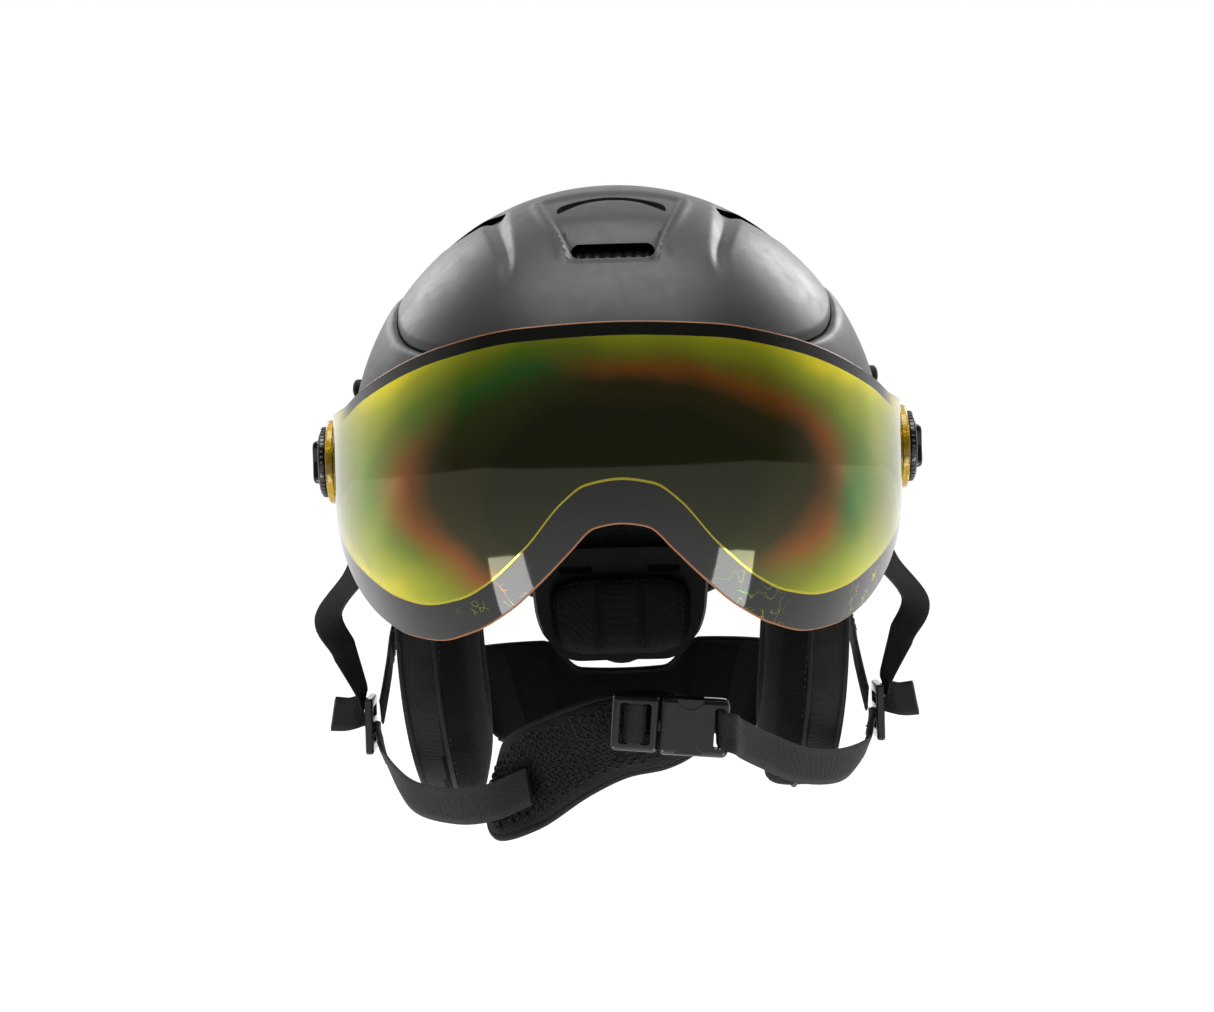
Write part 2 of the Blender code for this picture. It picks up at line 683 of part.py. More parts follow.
def build_ear_pads(fabric, black):
    for side in (-1, 1):
        word = side_name(side)
        place(f"ear_pad_{word}", ear_pad_mesh(side), fabric)
        for y in (-0.010, 0.034):
            where = "front" if y < 0 else "rear"
            name = f"pad_snap_{where}_{word}"
            x = EAR_PAD_OUT - 0.009
            bearing = math.degrees(math.atan2(x, -y))
            liner_foot = along(SHELL_RIM, bearing) + LINER_RIM_STEP
            tall = liner_foot - EAR_PAD_TOP - 5 * FIT_GAP
            profile = ((0, 0), (SNAP_RADIUS, 0), (SNAP_RADIUS, tall), (0, tall))
            turn = Matrix.Translation((side * x, y, EAR_PAD_TOP + FIT_GAP))
            place(name, turned_mesh(name, profile, 14, turn), black)


def build_neck_roll(fabric):
    """The padded band round the nape that joins the ear pads."""
    bearings = [180 + 58 * k / 9 for k in range(-9, 10)]
    roll = band_mesh(
        "neck_roll", bearings, lambda b: (along(NECK_ROLL_TOP, b - 180), NECK_ROLL_FOOT), 0.006, NECK_ROLL_THICK, 2
    )
    place("neck_roll", roll, fabric)


def strap_start(bearing):
    """Where webbing comes out between the shell and the liner."""
    return shell_point(bearing, along(SHELL_RIM, bearing) - 0.0066, SHELL_WALL + FIT_GAP + STRAP_WALL)


def build_anchor(name, bearing, finish):
    """The plate in the shell's rim that the webbing is sewn to."""
    half = math.degrees(STRAP_WIDTH / 2 / HALF_WIDTH)
    inset = SHELL_WALL + FIT_GAP
    anchor = band_mesh(
        name,
        [bearing - half, bearing, bearing + half],
        lambda b: (along(SHELL_RIM, b) + 0.0016, along(SHELL_RIM, b) - 0.0016),
        inset,
        ANCHOR_WALL,
        1,
    )
    place(name, anchor, finish)


def beside(side, out, y, z):
    """A point this far outside the widest line of the shell."""
    return (side * (HALF_WIDTH + out), y, z)


def build_side_straps(webbing, plastic):
    """Front and rear webbing from the shell's rim down to the slider on each side."""
    for side in (-1, 1):
        word = side_name(side)
        front_bearing, rear_bearing = side * ANCHOR_BEARINGS[0], side * ANCHOR_BEARINGS[1]
        build_anchor(f"strap_anchor_front_{word}", front_bearing, plastic)
        build_anchor(f"strap_anchor_rear_{word}", rear_bearing, plastic)
        front = (
            strap_start(front_bearing), beside(side, -0.0085, -0.047, -0.030),
            beside(side, -0.0020, -0.036, -0.046), beside(side, 0.0115, -0.023, -0.064),
            beside(side, 0.0065, -0.014, -0.080), beside(side, -0.0050, -0.006, -0.100),
        )
        level = strap_start(front_bearing - 2 * side) - strap_start(front_bearing + 2 * side)
        forward = (level, (0, -0.9, 0.3), (0, -0.95, 0.2), (0, -1, 0.1), (0, -0.95, 0.2), (0, -1, 0))
        name = f"front_strap_{word}"
        place(name, ribbon_mesh(name, front, forward, (STRAP_WIDTH,) * 6, STRAP_WALL, 3), webbing)
        rear = (
            strap_start(rear_bearing), beside(side, -0.0145, 0.061, -0.064),
            beside(side, -0.0095, 0.044, -0.080),
            beside(side, -0.0080, 0.027, -0.094), beside(side, -0.0075, 0.014, -0.104),
        )
        sloping = strap_start(rear_bearing + 2 * side) - strap_start(rear_bearing - 2 * side)
        slanted = (sloping, (0, 0.5, -0.85), (0, 0.5, -0.85), (0, 0.55, -0.83), (0, 0.6, -0.8))
        name = f"rear_strap_{word}"
        place(name, ribbon_mesh(name, rear, slanted, (STRAP_WIDTH,) * 5, STRAP_WALL, 3), webbing)
        build_slider(side, plastic)
        tail = (
            beside(side, 0.0015, -0.006, -0.103), beside(side, 0.0065, -0.008, -0.109),
            beside(side, 0.0100, -0.008, -0.1165),
        )
        name = f"strap_tail_{word}"
        facing = ((0, -1, 0),) * 3
        place(name, ribbon_mesh(name, tail, facing, (STRAP_WIDTH,) * 3, STRAP_WALL, 3), webbing)


def build_slider(side, plastic):
    """A three-bar slider plate on the outside of the webbing."""
    name = f"strap_slider_{side_name(side)}"
    centre = beside(side, -0.0030, -0.004, -0.1130)
    body = block_mesh(name, (SLIDER_WALL, SLIDER_WIDTH, SLIDER_LENGTH), centre, 0.0008)
    piece = place(name, body, plastic)
    for step in (-1, 1):
        hole = (SLIDER_WALL * 3, STRAP_WIDTH + 0.001, 0.0045)
        cut(piece, block_mesh("slot", hole, (centre[0], centre[1], centre[2] + step * 0.0055)))


def build_chin_straps(webbing, mesh_fabric):
    wide = (STRAP_WIDTH,) * 6
    left = (
        beside(-1, -0.0080, -0.004, -0.1130), beside(-1, -0.0110, -0.012, -0.1290),
        beside(-1, -0.0220, -0.032, -0.1400),
        (-0.0720, -0.058, -0.1410), (-0.0555, -0.0780, -0.1370), (-0.0390, -0.0905, -0.1290),
    )
    turns = ((0, -1, 0), (0, -0.9, 0.45), (0.1, -0.5, 0.85), (0, -0.2, 1), (0, 0, 1), (0.3, 0, 1))
    place("chin_strap_left", ribbon_mesh("chin_strap_left", left, turns, wide, STRAP_WALL), webbing)
    right = (
        beside(1, -0.0080, -0.004, -0.1130), beside(1, -0.0100, -0.014, -0.1280),
        beside(1, -0.0220, -0.034, -0.1320),
        (0.0720, -0.060, -0.1280), (0.0570, -0.0790, -0.1200), (0.0425, -0.0960, -0.1100),
    )
    turns = ((0, -1, 0), (0, -0.9, 0.45), (-0.1, -0.5, 0.85), (0, -0.2, 1), (0, 0, 1), (0, 0, 1))
    place("chin_strap_right", ribbon_mesh("chin_strap_right", right, turns, wide, STRAP_WALL), webbing)
    pad = (
        (-0.0560, -0.0650, -0.1440), (-0.0410, -0.0790, -0.1290), (-0.0215, -0.0880, -0.1170),
        (-0.0040, -0.0910, -0.1100), (0.0140, -0.0905, -0.1080), (0.0310, -0.0850, -0.1090),
    )
    turns = ((0.45, 0, 0.9), (0.25, 0, 1), (0.25, 0, 1), (0.1, 0, 1), (0, 0, 1), (0, 0, 1))
    widths = (0.026, 0.034, 0.032, 0.030, 0.028, 0.018)
    place("chin_pad", ribbon_mesh("chin_pad", pad, turns, widths, 0.007), mesh_fabric)


# ---------------------------------------------------------------- buckle


def buckle_frame():
    """Buckle space: X runs along the strap to the right, Y into the chin, Z up."""
    return Matrix.Translation(BUCKLE_CENTRE) @ Matrix.Rotation(BUCKLE_TILT, 4, "Y")


def buckle_block(name, size, centre, bevel=0.0):
    mesh = block_mesh(name, size, centre, bevel)
    mesh.transform(buckle_frame())
    return mesh


def build_buckle(plastic):
    """The socket on the right strap, and the plug with its ladder frame and two springy prongs."""
    middle = SOCKET_LENGTH / 2 - 0.001
    room = SOCKET_HEIGHT - 2 * SOCKET_WALL
    body = buckle_block("buckle_socket", (SOCKET_LENGTH, SOCKET_HEIGHT, SOCKET_WIDTH), (middle, 0, 0), 0.0010)
    socket = place("buckle_socket", body, plastic)
    arm_start = -0.0008
    cavity_end = arm_start + PRONG_REACH + TURN_GAP
    cavity = (cavity_end + 0.004, room, SOCKET_WIDTH - 2 * SOCKET_WALL)
    cut(socket, buckle_block("cavity", cavity, (cavity_end / 2 - 0.002, 0, 0)))
    window = (0.0105, room, SOCKET_WIDTH + 0.004)
    cut(socket, buckle_block("window", window, (0.0105, 0, 0)))
    bar = (0.0035, SOCKET_HEIGHT + 0.004, STRAP_WIDTH + 0.001)
    cut(socket, buckle_block("webbing_slot", bar, (SOCKET_LENGTH - 0.0050, 0, 0)))
    plug_middle = -0.001 - TURN_GAP - PLUG_LENGTH / 2
    ladder = (PLUG_LENGTH, SOCKET_HEIGHT - 0.0015, SOCKET_WIDTH - 0.001)
    plug = place("buckle_plug", buckle_block("buckle_plug", ladder, (plug_middle, 0, 0), 0.0010), plastic)
    for step in (-1, 1):
        slot = (0.0038, SOCKET_HEIGHT + 0.004, STRAP_WIDTH + 0.001)
        cut(plug, buckle_block("ladder_slot", slot, (plug_middle + step * 0.0042, 0, 0)))
    tongue = (0.014, room - 0.0012, 0.0050)
    join(plug, buckle_block("tongue", tongue, (0.0050, 0, 0)))
    for side, word in ((1, "upper"), (-1, "lower")):
        name = f"buckle_prong_{word}"
        lane = side * (SOCKET_WIDTH / 2 - SOCKET_WALL - 0.0010 - PRONG_WIDTH / 2)
        arm = (PRONG_REACH, room - 0.0012, PRONG_WIDTH)
        root = buckle_frame() @ Vector((arm_start, 0, lane))
        prong = place(name, buckle_block(name, arm, (arm_start + PRONG_REACH / 2, 0, lane), 0.0005), plastic, root)
        head = (0.0085, room - 0.0012, 0.0030)
        join(prong, buckle_block("head", head, (0.0105, 0, lane + side * 0.0022), 0.0006))


def main():
    for old in list(bpy.data.objects):
        bpy.data.objects.remove(old, do_unlink=True)
    matte_black = material("matte black ABS", (0.018, 0.018, 0.019), 0.45)
    side_black = material("side black ABS", (0.014, 0.014, 0.015), 0.5)
    gloss_black = material("gloss black acetal", (0.010, 0.010, 0.010), 0.2)
    foam = material("expanded foam", (0.03, 0.03, 0.032), 0.9)
    fleece = material("black fleece", (0.012, 0.012, 0.012), 1.0)
    spacer = material("black spacer mesh", (0.015, 0.015, 0.015), 0.95)
    webbing = material("black webbing", (0.014, 0.014, 0.015), 0.8)
    grey = material("dark grey nylon", (0.03, 0.03, 0.03), 0.5)
    lens = material("yellow mirror lens", (0.62, 0.60, 0.05), 0.08, 0.3)
    yellow = material("clear yellow polycarbonate", (0.9, 0.62, 0.04), 0.15)
    build_upper_shell(matte_black)
    build_lower_shell(side_black)
    build_liner(foam)
    build_pads(fleece)
    build_intake(grey)
    visor_axis = axis_empty("visor_axis", (0, 0, 0))
    build_lens(lens, visor_axis)
    build_seal(foam, visor_axis)
    for side in (-1, 1):
        build_pivot(side, gloss_black, yellow, visor_axis)
    build_stops(gloss_black)
    build_fit_system(matte_black, grey)
    build_nape_pad(fleece)
    build_ear_pads(fleece, gloss_black)
    build_neck_roll(fleece)
    build_side_straps(webbing, gloss_black)
    build_chin_straps(webbing, spacer)
    build_buckle(gloss_black)


main()
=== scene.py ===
import json
import logging
import math
from collections.abc import Sequence
from dataclasses import dataclass, field
from enum import Enum

import bmesh
import bpy
from mathutils import Matrix, Vector, noise


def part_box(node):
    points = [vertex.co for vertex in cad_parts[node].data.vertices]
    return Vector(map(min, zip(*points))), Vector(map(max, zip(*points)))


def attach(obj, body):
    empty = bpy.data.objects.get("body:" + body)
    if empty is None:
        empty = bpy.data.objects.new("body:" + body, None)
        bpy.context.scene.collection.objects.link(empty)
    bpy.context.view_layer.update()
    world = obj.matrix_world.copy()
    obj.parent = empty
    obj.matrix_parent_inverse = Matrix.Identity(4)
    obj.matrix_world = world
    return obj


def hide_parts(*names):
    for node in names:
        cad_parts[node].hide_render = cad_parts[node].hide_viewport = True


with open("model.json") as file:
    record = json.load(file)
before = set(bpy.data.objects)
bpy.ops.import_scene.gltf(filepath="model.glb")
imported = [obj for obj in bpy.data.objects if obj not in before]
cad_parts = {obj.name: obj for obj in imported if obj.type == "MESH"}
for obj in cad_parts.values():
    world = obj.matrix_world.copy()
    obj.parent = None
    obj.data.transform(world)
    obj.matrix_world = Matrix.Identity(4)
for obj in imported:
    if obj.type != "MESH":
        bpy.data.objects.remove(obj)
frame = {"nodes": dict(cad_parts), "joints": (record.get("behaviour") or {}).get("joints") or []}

LOG = logging.getLogger("ski_helmet")
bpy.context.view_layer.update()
Colour = tuple[float, float, float]
Line = Sequence[tuple[float, float]]


class Side(Enum):
    """The two sides of the helmet, as seen from in front of it."""

    LEFT = -1
    RIGHT = 1

    @property
    def word(self) -> str:
        """The side's name, as the nodes use it."""
        return self.name.lower()


# ------------------------------------------------------------------ shader building


class Shader:
    """A material under construction: a Principled shader and short ways to feed it."""

    def __init__(self, name: str) -> None:
        """Starts an empty node material.

        Args:
            name: The material's name.
        """
        self.material = bpy.data.materials.new(name)
        self.material.use_nodes = True
        self.tree = self.material.node_tree
        self.principled = self.tree.nodes["Principled BSDF"]
        self.space = self.node("ShaderNodeTexCoord").outputs["Object"]

    def node(self, kind: str, **settings: object) -> bpy.types.Node:
        """Adds a node, with its properties set."""
        made = self.tree.nodes.new(kind)
        for key, value in settings.items():
            setattr(made, key, value)
        return made

    def feed(self, source: object, socket: bpy.types.NodeSocket) -> None:
        """Links a socket, or sets a plain value."""
        if isinstance(source, bpy.types.NodeSocket):
            self.tree.links.new(source, socket)
        else:
            socket.default_value = source

    def put(self, **values: object) -> None:
        """Feeds the Principled shader; an underscore in a name stands for a space."""
        for key, value in values.items():
            self.feed(value, self.principled.inputs[key.replace("_", " ")])

    def noise(self, scale: float, detail: float = 3.0, warp: float = 0.0) -> bpy.types.NodeSocket:
        """Fractal noise in object space, from 0 to 1."""
        made = self.node("ShaderNodeTexNoise")
        self.feed(self.space, made.inputs["Vector"])
        made.inputs["Scale"].default_value = scale
        made.inputs["Detail"].default_value = detail
        made.inputs["Distortion"].default_value = warp
        return made.outputs["Fac"]

    def cells(self, scale: float, feature: str = "F1") -> bpy.types.NodeSocket:
        """Distance to the nearest cell centre, or to the cells' edges."""
        made = self.node("ShaderNodeTexVoronoi", feature=feature)
        self.feed(self.space, made.inputs["Vector"])
        made.inputs["Scale"].default_value = scale
        return made.outputs["Distance"]

    def attribute(self, name: str) -> bpy.types.NodeSocket:
        """A number stored on the mesh."""
        return self.node("ShaderNodeAttribute", attribute_name=name).outputs["Fac"]

    def math(self, operation: str, *values: object) -> bpy.types.NodeSocket:
        """A Math node."""
        made = self.node("ShaderNodeMath", operation=operation)
        for value, socket in zip(values, made.inputs):
            self.feed(value, socket)
        return made.outputs[0]

    def ramp(self, value: object, *stops: tuple[float, Colour]) -> bpy.types.NodeSocket:
        """A colour ramp with a stop at each given place."""
        made = self.node("ShaderNodeValToRGB")
        self.feed(value, made.inputs[0])
        elements = made.color_ramp.elements
        for k, (where, colour) in enumerate(stops):
            stop = elements[k] if k < 2 else elements.new(where)
            stop.position = where
            stop.color = (*colour, 1.0)
        return made.outputs["Color"]

    def mix(self, share: object, first: object, second: object) -> bpy.types.NodeSocket:
        """A colour mix; a plain colour is three numbers."""
        made = self.node("ShaderNodeMix", data_type="RGBA")
        self.feed(share, made.inputs[0])
        for value, socket in ((first, made.inputs[6]), (second, made.inputs[7])):
            self.feed((*value, 1.0) if isinstance(value, tuple) else value, socket)
        return made.outputs[2]

    def span(self, value: object, low: float, high: float, start: float, end: float) -> bpy.types.NodeSocket:
        """Maps a range of values to another, clamped."""
        made = self.node("ShaderNodeMapRange")
        for key, given in zip((0, 1, 2, 3, 4), (value, low, high, start, end)):
            self.feed(given, made.inputs[key])
        return made.outputs[0]

    def bump(self, height: object, strength: float, depth: float) -> None:
        """Gives the surface a bump.

        Args:
            height: The height socket.
            strength: How much of the bump shows, 0 to 1.
            depth: The bump's depth in metres.
        """
        made = self.node("ShaderNodeBump")
        made.inputs["Strength"].default_value = strength
        made.inputs["Distance"].default_value = depth
        self.feed(height, made.inputs["Height"])
        self.put(Normal=made.outputs["Normal"])


# ------------------------------------------------------------------ finishes


@dataclass(frozen=True)
class Moulded:
    """Moulded plastic: fine grain, slight colour drift and faint rub marks."""

    name: str
    colour: Colour
    roughness: float
    grain: float = 0.3
    grain_scale: float = 2600.0
    specular: float = 0.5
    coat: float = 0.0

    def build(self) -> bpy.types.Material:
        """Makes the material."""
        shader = Shader(self.name)
        drift = shader.noise(14.0, 4.0)
        light = tuple(1.35 * c + 0.002 for c in self.colour)
        shader.put(Base_Color=shader.mix(drift, self.colour, light))
        rub = shader.noise(90.0, 5.0, 1.5)
        shader.put(Roughness=shader.span(rub, 0.35, 0.8, self.roughness - 0.04, self.roughness + 0.06))
        shader.put(Coat_Weight=self.coat, Coat_Roughness=0.08)
        shader.principled.inputs["Specular IOR Level"].default_value = self.specular
        shader.bump(shader.noise(self.grain_scale, 1.0), self.grain, 0.00012)
        return shader.material


@dataclass(frozen=True)
class BeadFoam:
    """Expanded foam: fused beads with dark seams."""

    name: str
    colour: Colour
    bead_scale: float = 380.0

    def build(self) -> bpy.types.Material:
        """Makes the material."""
        shader = Shader(self.name)
        seams = shader.cells(self.bead_scale, "DISTANCE_TO_EDGE")
        dark = tuple(0.45 * c for c in self.colour)
        shader.put(Base_Color=shader.mix(shader.span(seams, 0.0, 0.12, 0.0, 1.0), dark, self.colour))
        shader.put(Roughness=0.85)
        shader.bump(seams, 0.8, 0.0006)
        return shader.material


@dataclass(frozen=True)
class Pile:
    """Short-pile fleece: tufted, with a soft sheen at its edges."""

    name: str
    colour: Colour
    tuft_scale: float = 900.0

    def build(self) -> bpy.types.Material:
        """Makes the material."""
        shader = Shader(self.name)
        tufts = shader.noise(self.tuft_scale, 4.0, 0.6)
        wear = shader.noise(35.0, 3.0)
        light = tuple(2.1 * c for c in self.colour)
        lit = shader.mix(shader.math("MULTIPLY", tufts, wear), self.colour, light)
        shader.put(Base_Color=lit, Roughness=0.95, Sheen_Weight=0.10, Sheen_Roughness=0.5)
        shader.principled.inputs["Sheen Tint"].default_value = (0.5, 0.5, 0.5, 1.0)
        shader.principled.inputs["Specular IOR Level"].default_value = 0.15
        shader.bump(tufts, 0.9, 0.0007)
        return shader.material


@dataclass(frozen=True)
class Woven:
    """Woven or knitted cloth: crossing yarns at a given pitch."""

    name: str
    colour: Colour
    pitch: float
    gloss: float = 0.62

    def build(self) -> bpy.types.Material:
        """Makes the material."""
        shader = Shader(self.name)
        heights = []
        for direction in ("X", "Y", "Z"):
            wave = shader.node("ShaderNodeTexWave", bands_direction=direction)
            shader.feed(shader.space, wave.inputs["Vector"])
            wave.inputs["Scale"].default_value = 0.314 / self.pitch
            wave.inputs["Distortion"].default_value = 0.6
            heights.append(wave.outputs["Fac"])
        height = shader.math("ADD", shader.math("MULTIPLY", heights[0], heights[2]), heights[1])
        light = tuple(1.9 * c for c in self.colour)
        shader.put(Base_Color=shader.mix(shader.span(height, 0.0, 2.0, 0.0, 1.0), self.colour, light))
        shader.put(Roughness=self.gloss, Sheen_Weight=0.05, Sheen_Roughness=0.4)
        shader.principled.inputs["Specular IOR Level"].default_value = 0.3
        shader.bump(height, 0.6, 0.00025)
        return shader.material


@dataclass(frozen=True)
class MirrorLens:
    """A tinted lens with a mirror coat that shifts in colour, and a printed border kept in an attribute."""

    name: str
    half_width: float
    tint: Colour = (0.94, 0.80, 0.015)
    centre: Colour = (0.030, 0.033, 0.012)

    def build(self) -> bpy.types.Material:
        """Makes the material."""
        shader = Shader(self.name)
        split = shader.node("ShaderNodeSeparateXYZ")
        shader.feed(shader.space, split.inputs[0])
        across = shader.math("DIVIDE", shader.math("ABSOLUTE", split.outputs[0]), self.half_width)
        rise = shader.math("DIVIDE", shader.math("ADD", split.outputs[2], 0.010), 0.064)
        squares = [shader.math("MULTIPLY", value, value) for value in (across, rise)]
        drift = shader.math("MULTIPLY", shader.math("SUBTRACT", shader.noise(11.0, 2.0, 0.8), 0.5), 0.34)
        place = shader.math("ADD", shader.math("SQRT", shader.math("ADD", *squares)), drift)
        greens = shader.ramp(
            place, (0.42, self.centre), (0.60, (0.060, 0.075, 0.018)), (0.70, (0.050, 0.170, 0.030)),
            (0.80, (0.150, 0.260, 0.020)), (0.93, (0.480, 0.480, 0.025)), (1.0, self.tint),
        )
        rusts = shader.ramp(
            place, (0.42, self.centre), (0.58, (0.055, 0.045, 0.014)), (0.68, (0.300, 0.100, 0.018)),
            (0.78, (0.260, 0.230, 0.020)), (0.90, (0.420, 0.470, 0.025)), (1.0, self.tint),
        )
        coat = shader.mix(shader.span(shader.noise(17.0, 1.0), 0.42, 0.58, 0.0, 1.0), greens, rusts)
        border = shader.attribute("border")
        glow = shader.attribute("glow")
        marks = shader.attribute("marks")
        strokes = [
            shader.span(shader.math("ABSOLUTE", shader.math("SUBTRACT", shader.noise(scale, 0.0), level)),
                        0.006, 0.014, 1.0, 0.0)
            for scale, level in ((150.0, 0.50), (210.0, 0.46))
        ]
        broken = shader.span(shader.noise(95.0, 1.0), 0.47, 0.52, 0.0, 1.0)
        drawn = shader.math("MULTIPLY", shader.math("MAXIMUM", *strokes), broken)
        scratched = shader.math("MULTIPLY", drawn, marks)
        printed = shader.math("MULTIPLY", border, shader.math("SUBTRACT", 1.0, scratched))
        coloured = shader.mix(printed, coat, (0.006, 0.006, 0.005))
        shader.put(Base_Color=shader.mix(glow, coloured, (0.62, 0.52, 0.02)))
        clear = shader.math("SUBTRACT", 1.0, printed)
        open_glass = shader.span(across, 0.84, 0.96, 0.12, 0.95)
        shader.put(
            Transmission_Weight=shader.math("MULTIPLY", clear, open_glass),
            Metallic=shader.math("MULTIPLY", clear, shader.span(across, 0.82, 0.96, 0.60, 0.04)),
            Roughness=shader.span(shader.noise(60.0, 4.0), 0.3, 0.8, 0.035, 0.075),
            IOR=1.5,
            Coat_Weight=0.3,
            Coat_Roughness=0.04,
        )
        return shader.material


@dataclass(frozen=True)
class ClearTint:
    """Clear tinted plastic."""

    name: str
    colour: Colour
    roughness: float = 0.12

    def build(self) -> bpy.types.Material:
        """Makes the material."""
        shader = Shader(self.name)
        deep = tuple(0.7 * c for c in self.colour)
        shader.put(Base_Color=shader.mix(shader.noise(60.0), self.colour, deep), Transmission_Weight=0.75)
        haze = shader.noise(160.0)
        shader.put(Roughness=shader.span(haze, 0.3, 0.7, self.roughness, self.roughness + 0.08))
        return shader.material


class Palette:
    """Every finish of the helmet, each built once."""

    def __init__(self) -> None:
        """Builds the materials."""
        black = (0.0080, 0.0080, 0.0084)
        finishes = {
            "shell": Moulded("satin shell", (0.0150, 0.0150, 0.0160), 0.40, 0.35, 2400.0, 0.42),
            "side_shell": Moulded("satin side shell", (0.0120, 0.0120, 0.0130), 0.42, 0.35, 2400.0, 0.40),
            "gloss": Moulded("polished acetal", (0.0080, 0.0080, 0.0080), 0.16, 0.12, 1800.0, 0.55, 0.4),
            "nylon": Moulded("moulded nylon", (0.0160, 0.0160, 0.0160), 0.5, 0.5, 1500.0, 0.4),
            "grey_nylon": Moulded("dark grey nylon", (0.0300, 0.0300, 0.0310), 0.46, 0.4, 1500.0, 0.4),
            "rubber": Moulded("soft rubber", (0.0100, 0.0100, 0.0100), 0.7, 0.5, 2200.0, 0.3),
            "foam": BeadFoam("bead foam", (0.030, 0.030, 0.032)),
            "fleece": Pile("black fleece", (0.0045, 0.0045, 0.0046)),
            "lining": Woven("pad cloth", (0.0065, 0.0065, 0.0068), 0.0011, 0.8),
            "ribbed": Woven("ribbed side cloth", (0.0070, 0.0070, 0.0074), 0.0009, 0.7),
            "webbing": Woven("strap webbing", black, 0.0007, 0.55),
            "spacer": Woven("spacer mesh", (0.0060, 0.0060, 0.0062), 0.0008, 0.75),
            "thread": Woven("sewing thread", (0.0200, 0.0200, 0.0210), 0.0003, 0.6),
            "lens": MirrorLens("mirror lens", LensPatch().half_width),
            "yellow": ClearTint("clear yellow ring", (0.92, 0.60, 0.02)),
            "copper": Moulded("lens edge", (0.26, 0.085, 0.018), 0.3, 0.1, 900.0, 0.5),
        }
        self._made = {key: finish.build() for key, finish in finishes.items()}

    def __getitem__(self, key: str) -> bpy.types.Material:
        """The material of that name."""
        return self._made[key]


# ------------------------------------------------------------------ surfaces


def signed(bearing: float) -> float:
    """Brings a bearing of 0 to 360 degrees into -180 to 180."""
    return bearing if bearing <= 180 else bearing - 360


def signed_power(value: float, power: float) -> float:
    """A power that keeps the sign."""
    return math.copysign(abs(value) ** power, value)


def smoothstep(value: float, low: float, high: float) -> float:
    """0 below low, 1 above high and smooth between; low may be the larger."""
    t = min(max((value - low) / (high - low), 0.0), 1.0)
    return t * t * (3 - 2 * t)


def along(points: Line, x: float) -> float:
    """Reads a smooth line through points, which never overshoots them.

    Args:
        points: Pairs of place and value, in rising order of place.
        x: The place; its sign is dropped.

    Returns:
        The value there.
    """
    x = min(max(abs(x), points[0][0]), points[-1][0])
    slopes = [(b[1] - a[1]) / (b[0] - a[0]) for a, b in zip(points, points[1:])]
    tangents = [0.0]
    for before, after in zip(slopes, slopes[1:]):
        tangents.append(0.0 if before * after <= 0 else 2 * before * after / (before + after))
    tangents.append(0.0)
    i = next(k for k in range(len(slopes)) if x <= points[k + 1][0])
    (x0, y0), (x1, y1) = points[i], points[i + 1]
    span = x1 - x0
    t = (x - x0) / span
    start = y0 * (1 + 2 * t) * (1 - t) ** 2 + span * tangents[i] * t * (1 - t) ** 2
    return start + y1 * t * t * (3 - 2 * t) - span * tangents[i + 1] * t * t * (1 - t)


@dataclass(frozen=True)
class Dome:
    """The surface that the shells, the liner and the pads share."""

    half_width: float = 0.112
    front: float = 0.126
    rear: float = 0.146
    crown: float = 0.1145
    skirt: float = 0.175
    power: float = 2.15
    wall: float = 0.0025
    parting: Line = (
        (0, 0.040), (35, 0.041), (52, 0.046), (72, 0.060), (90, 0.071), (120, 0.066), (180, 0.046),
    )
    rim: Line = (
        (0, 0.022), (35, 0.018), (55, 0.004), (75, -0.024), (95, -0.034), (120, -0.040), (180, -0.078),
    )

    def point(self, bearing: float, height: float, inset: float) -> Vector:
        """A point on the dome, this far inside the shell's outer face."""
        rise = self.crown - inset if height > 0 else self.skirt
        share = min(abs(height) / rise, 1.0)
        ring = math.sqrt(max(1 - share * share, 0.0))
        angle = math.radians(bearing)
        reach = self.front if math.cos(angle) > 0 else self.rear
        across = signed_power(math.sin(angle), 2 / self.power)
        ahead = signed_power(math.cos(angle), 2 / self.power)
        return Vector(((self.half_width - inset) * across * ring, -(reach - inset) * ahead * ring, height))

    def column(self, bearing: float, foot: float, inset: float, rows: int) -> list[Vector]:
        """Points from the crown down to the foot."""
        top = self.crown - inset
        end = math.asin(foot / top) if foot > 0 else math.asin(foot / self.skirt)
        points = []
        for k in range(rows + 1):
            angle = math.pi / 2 + (end - math.pi / 2) * k / rows
            points.append(self.point(bearing, (top if angle > 0 else self.skirt) * math.sin(angle), inset))
        return points

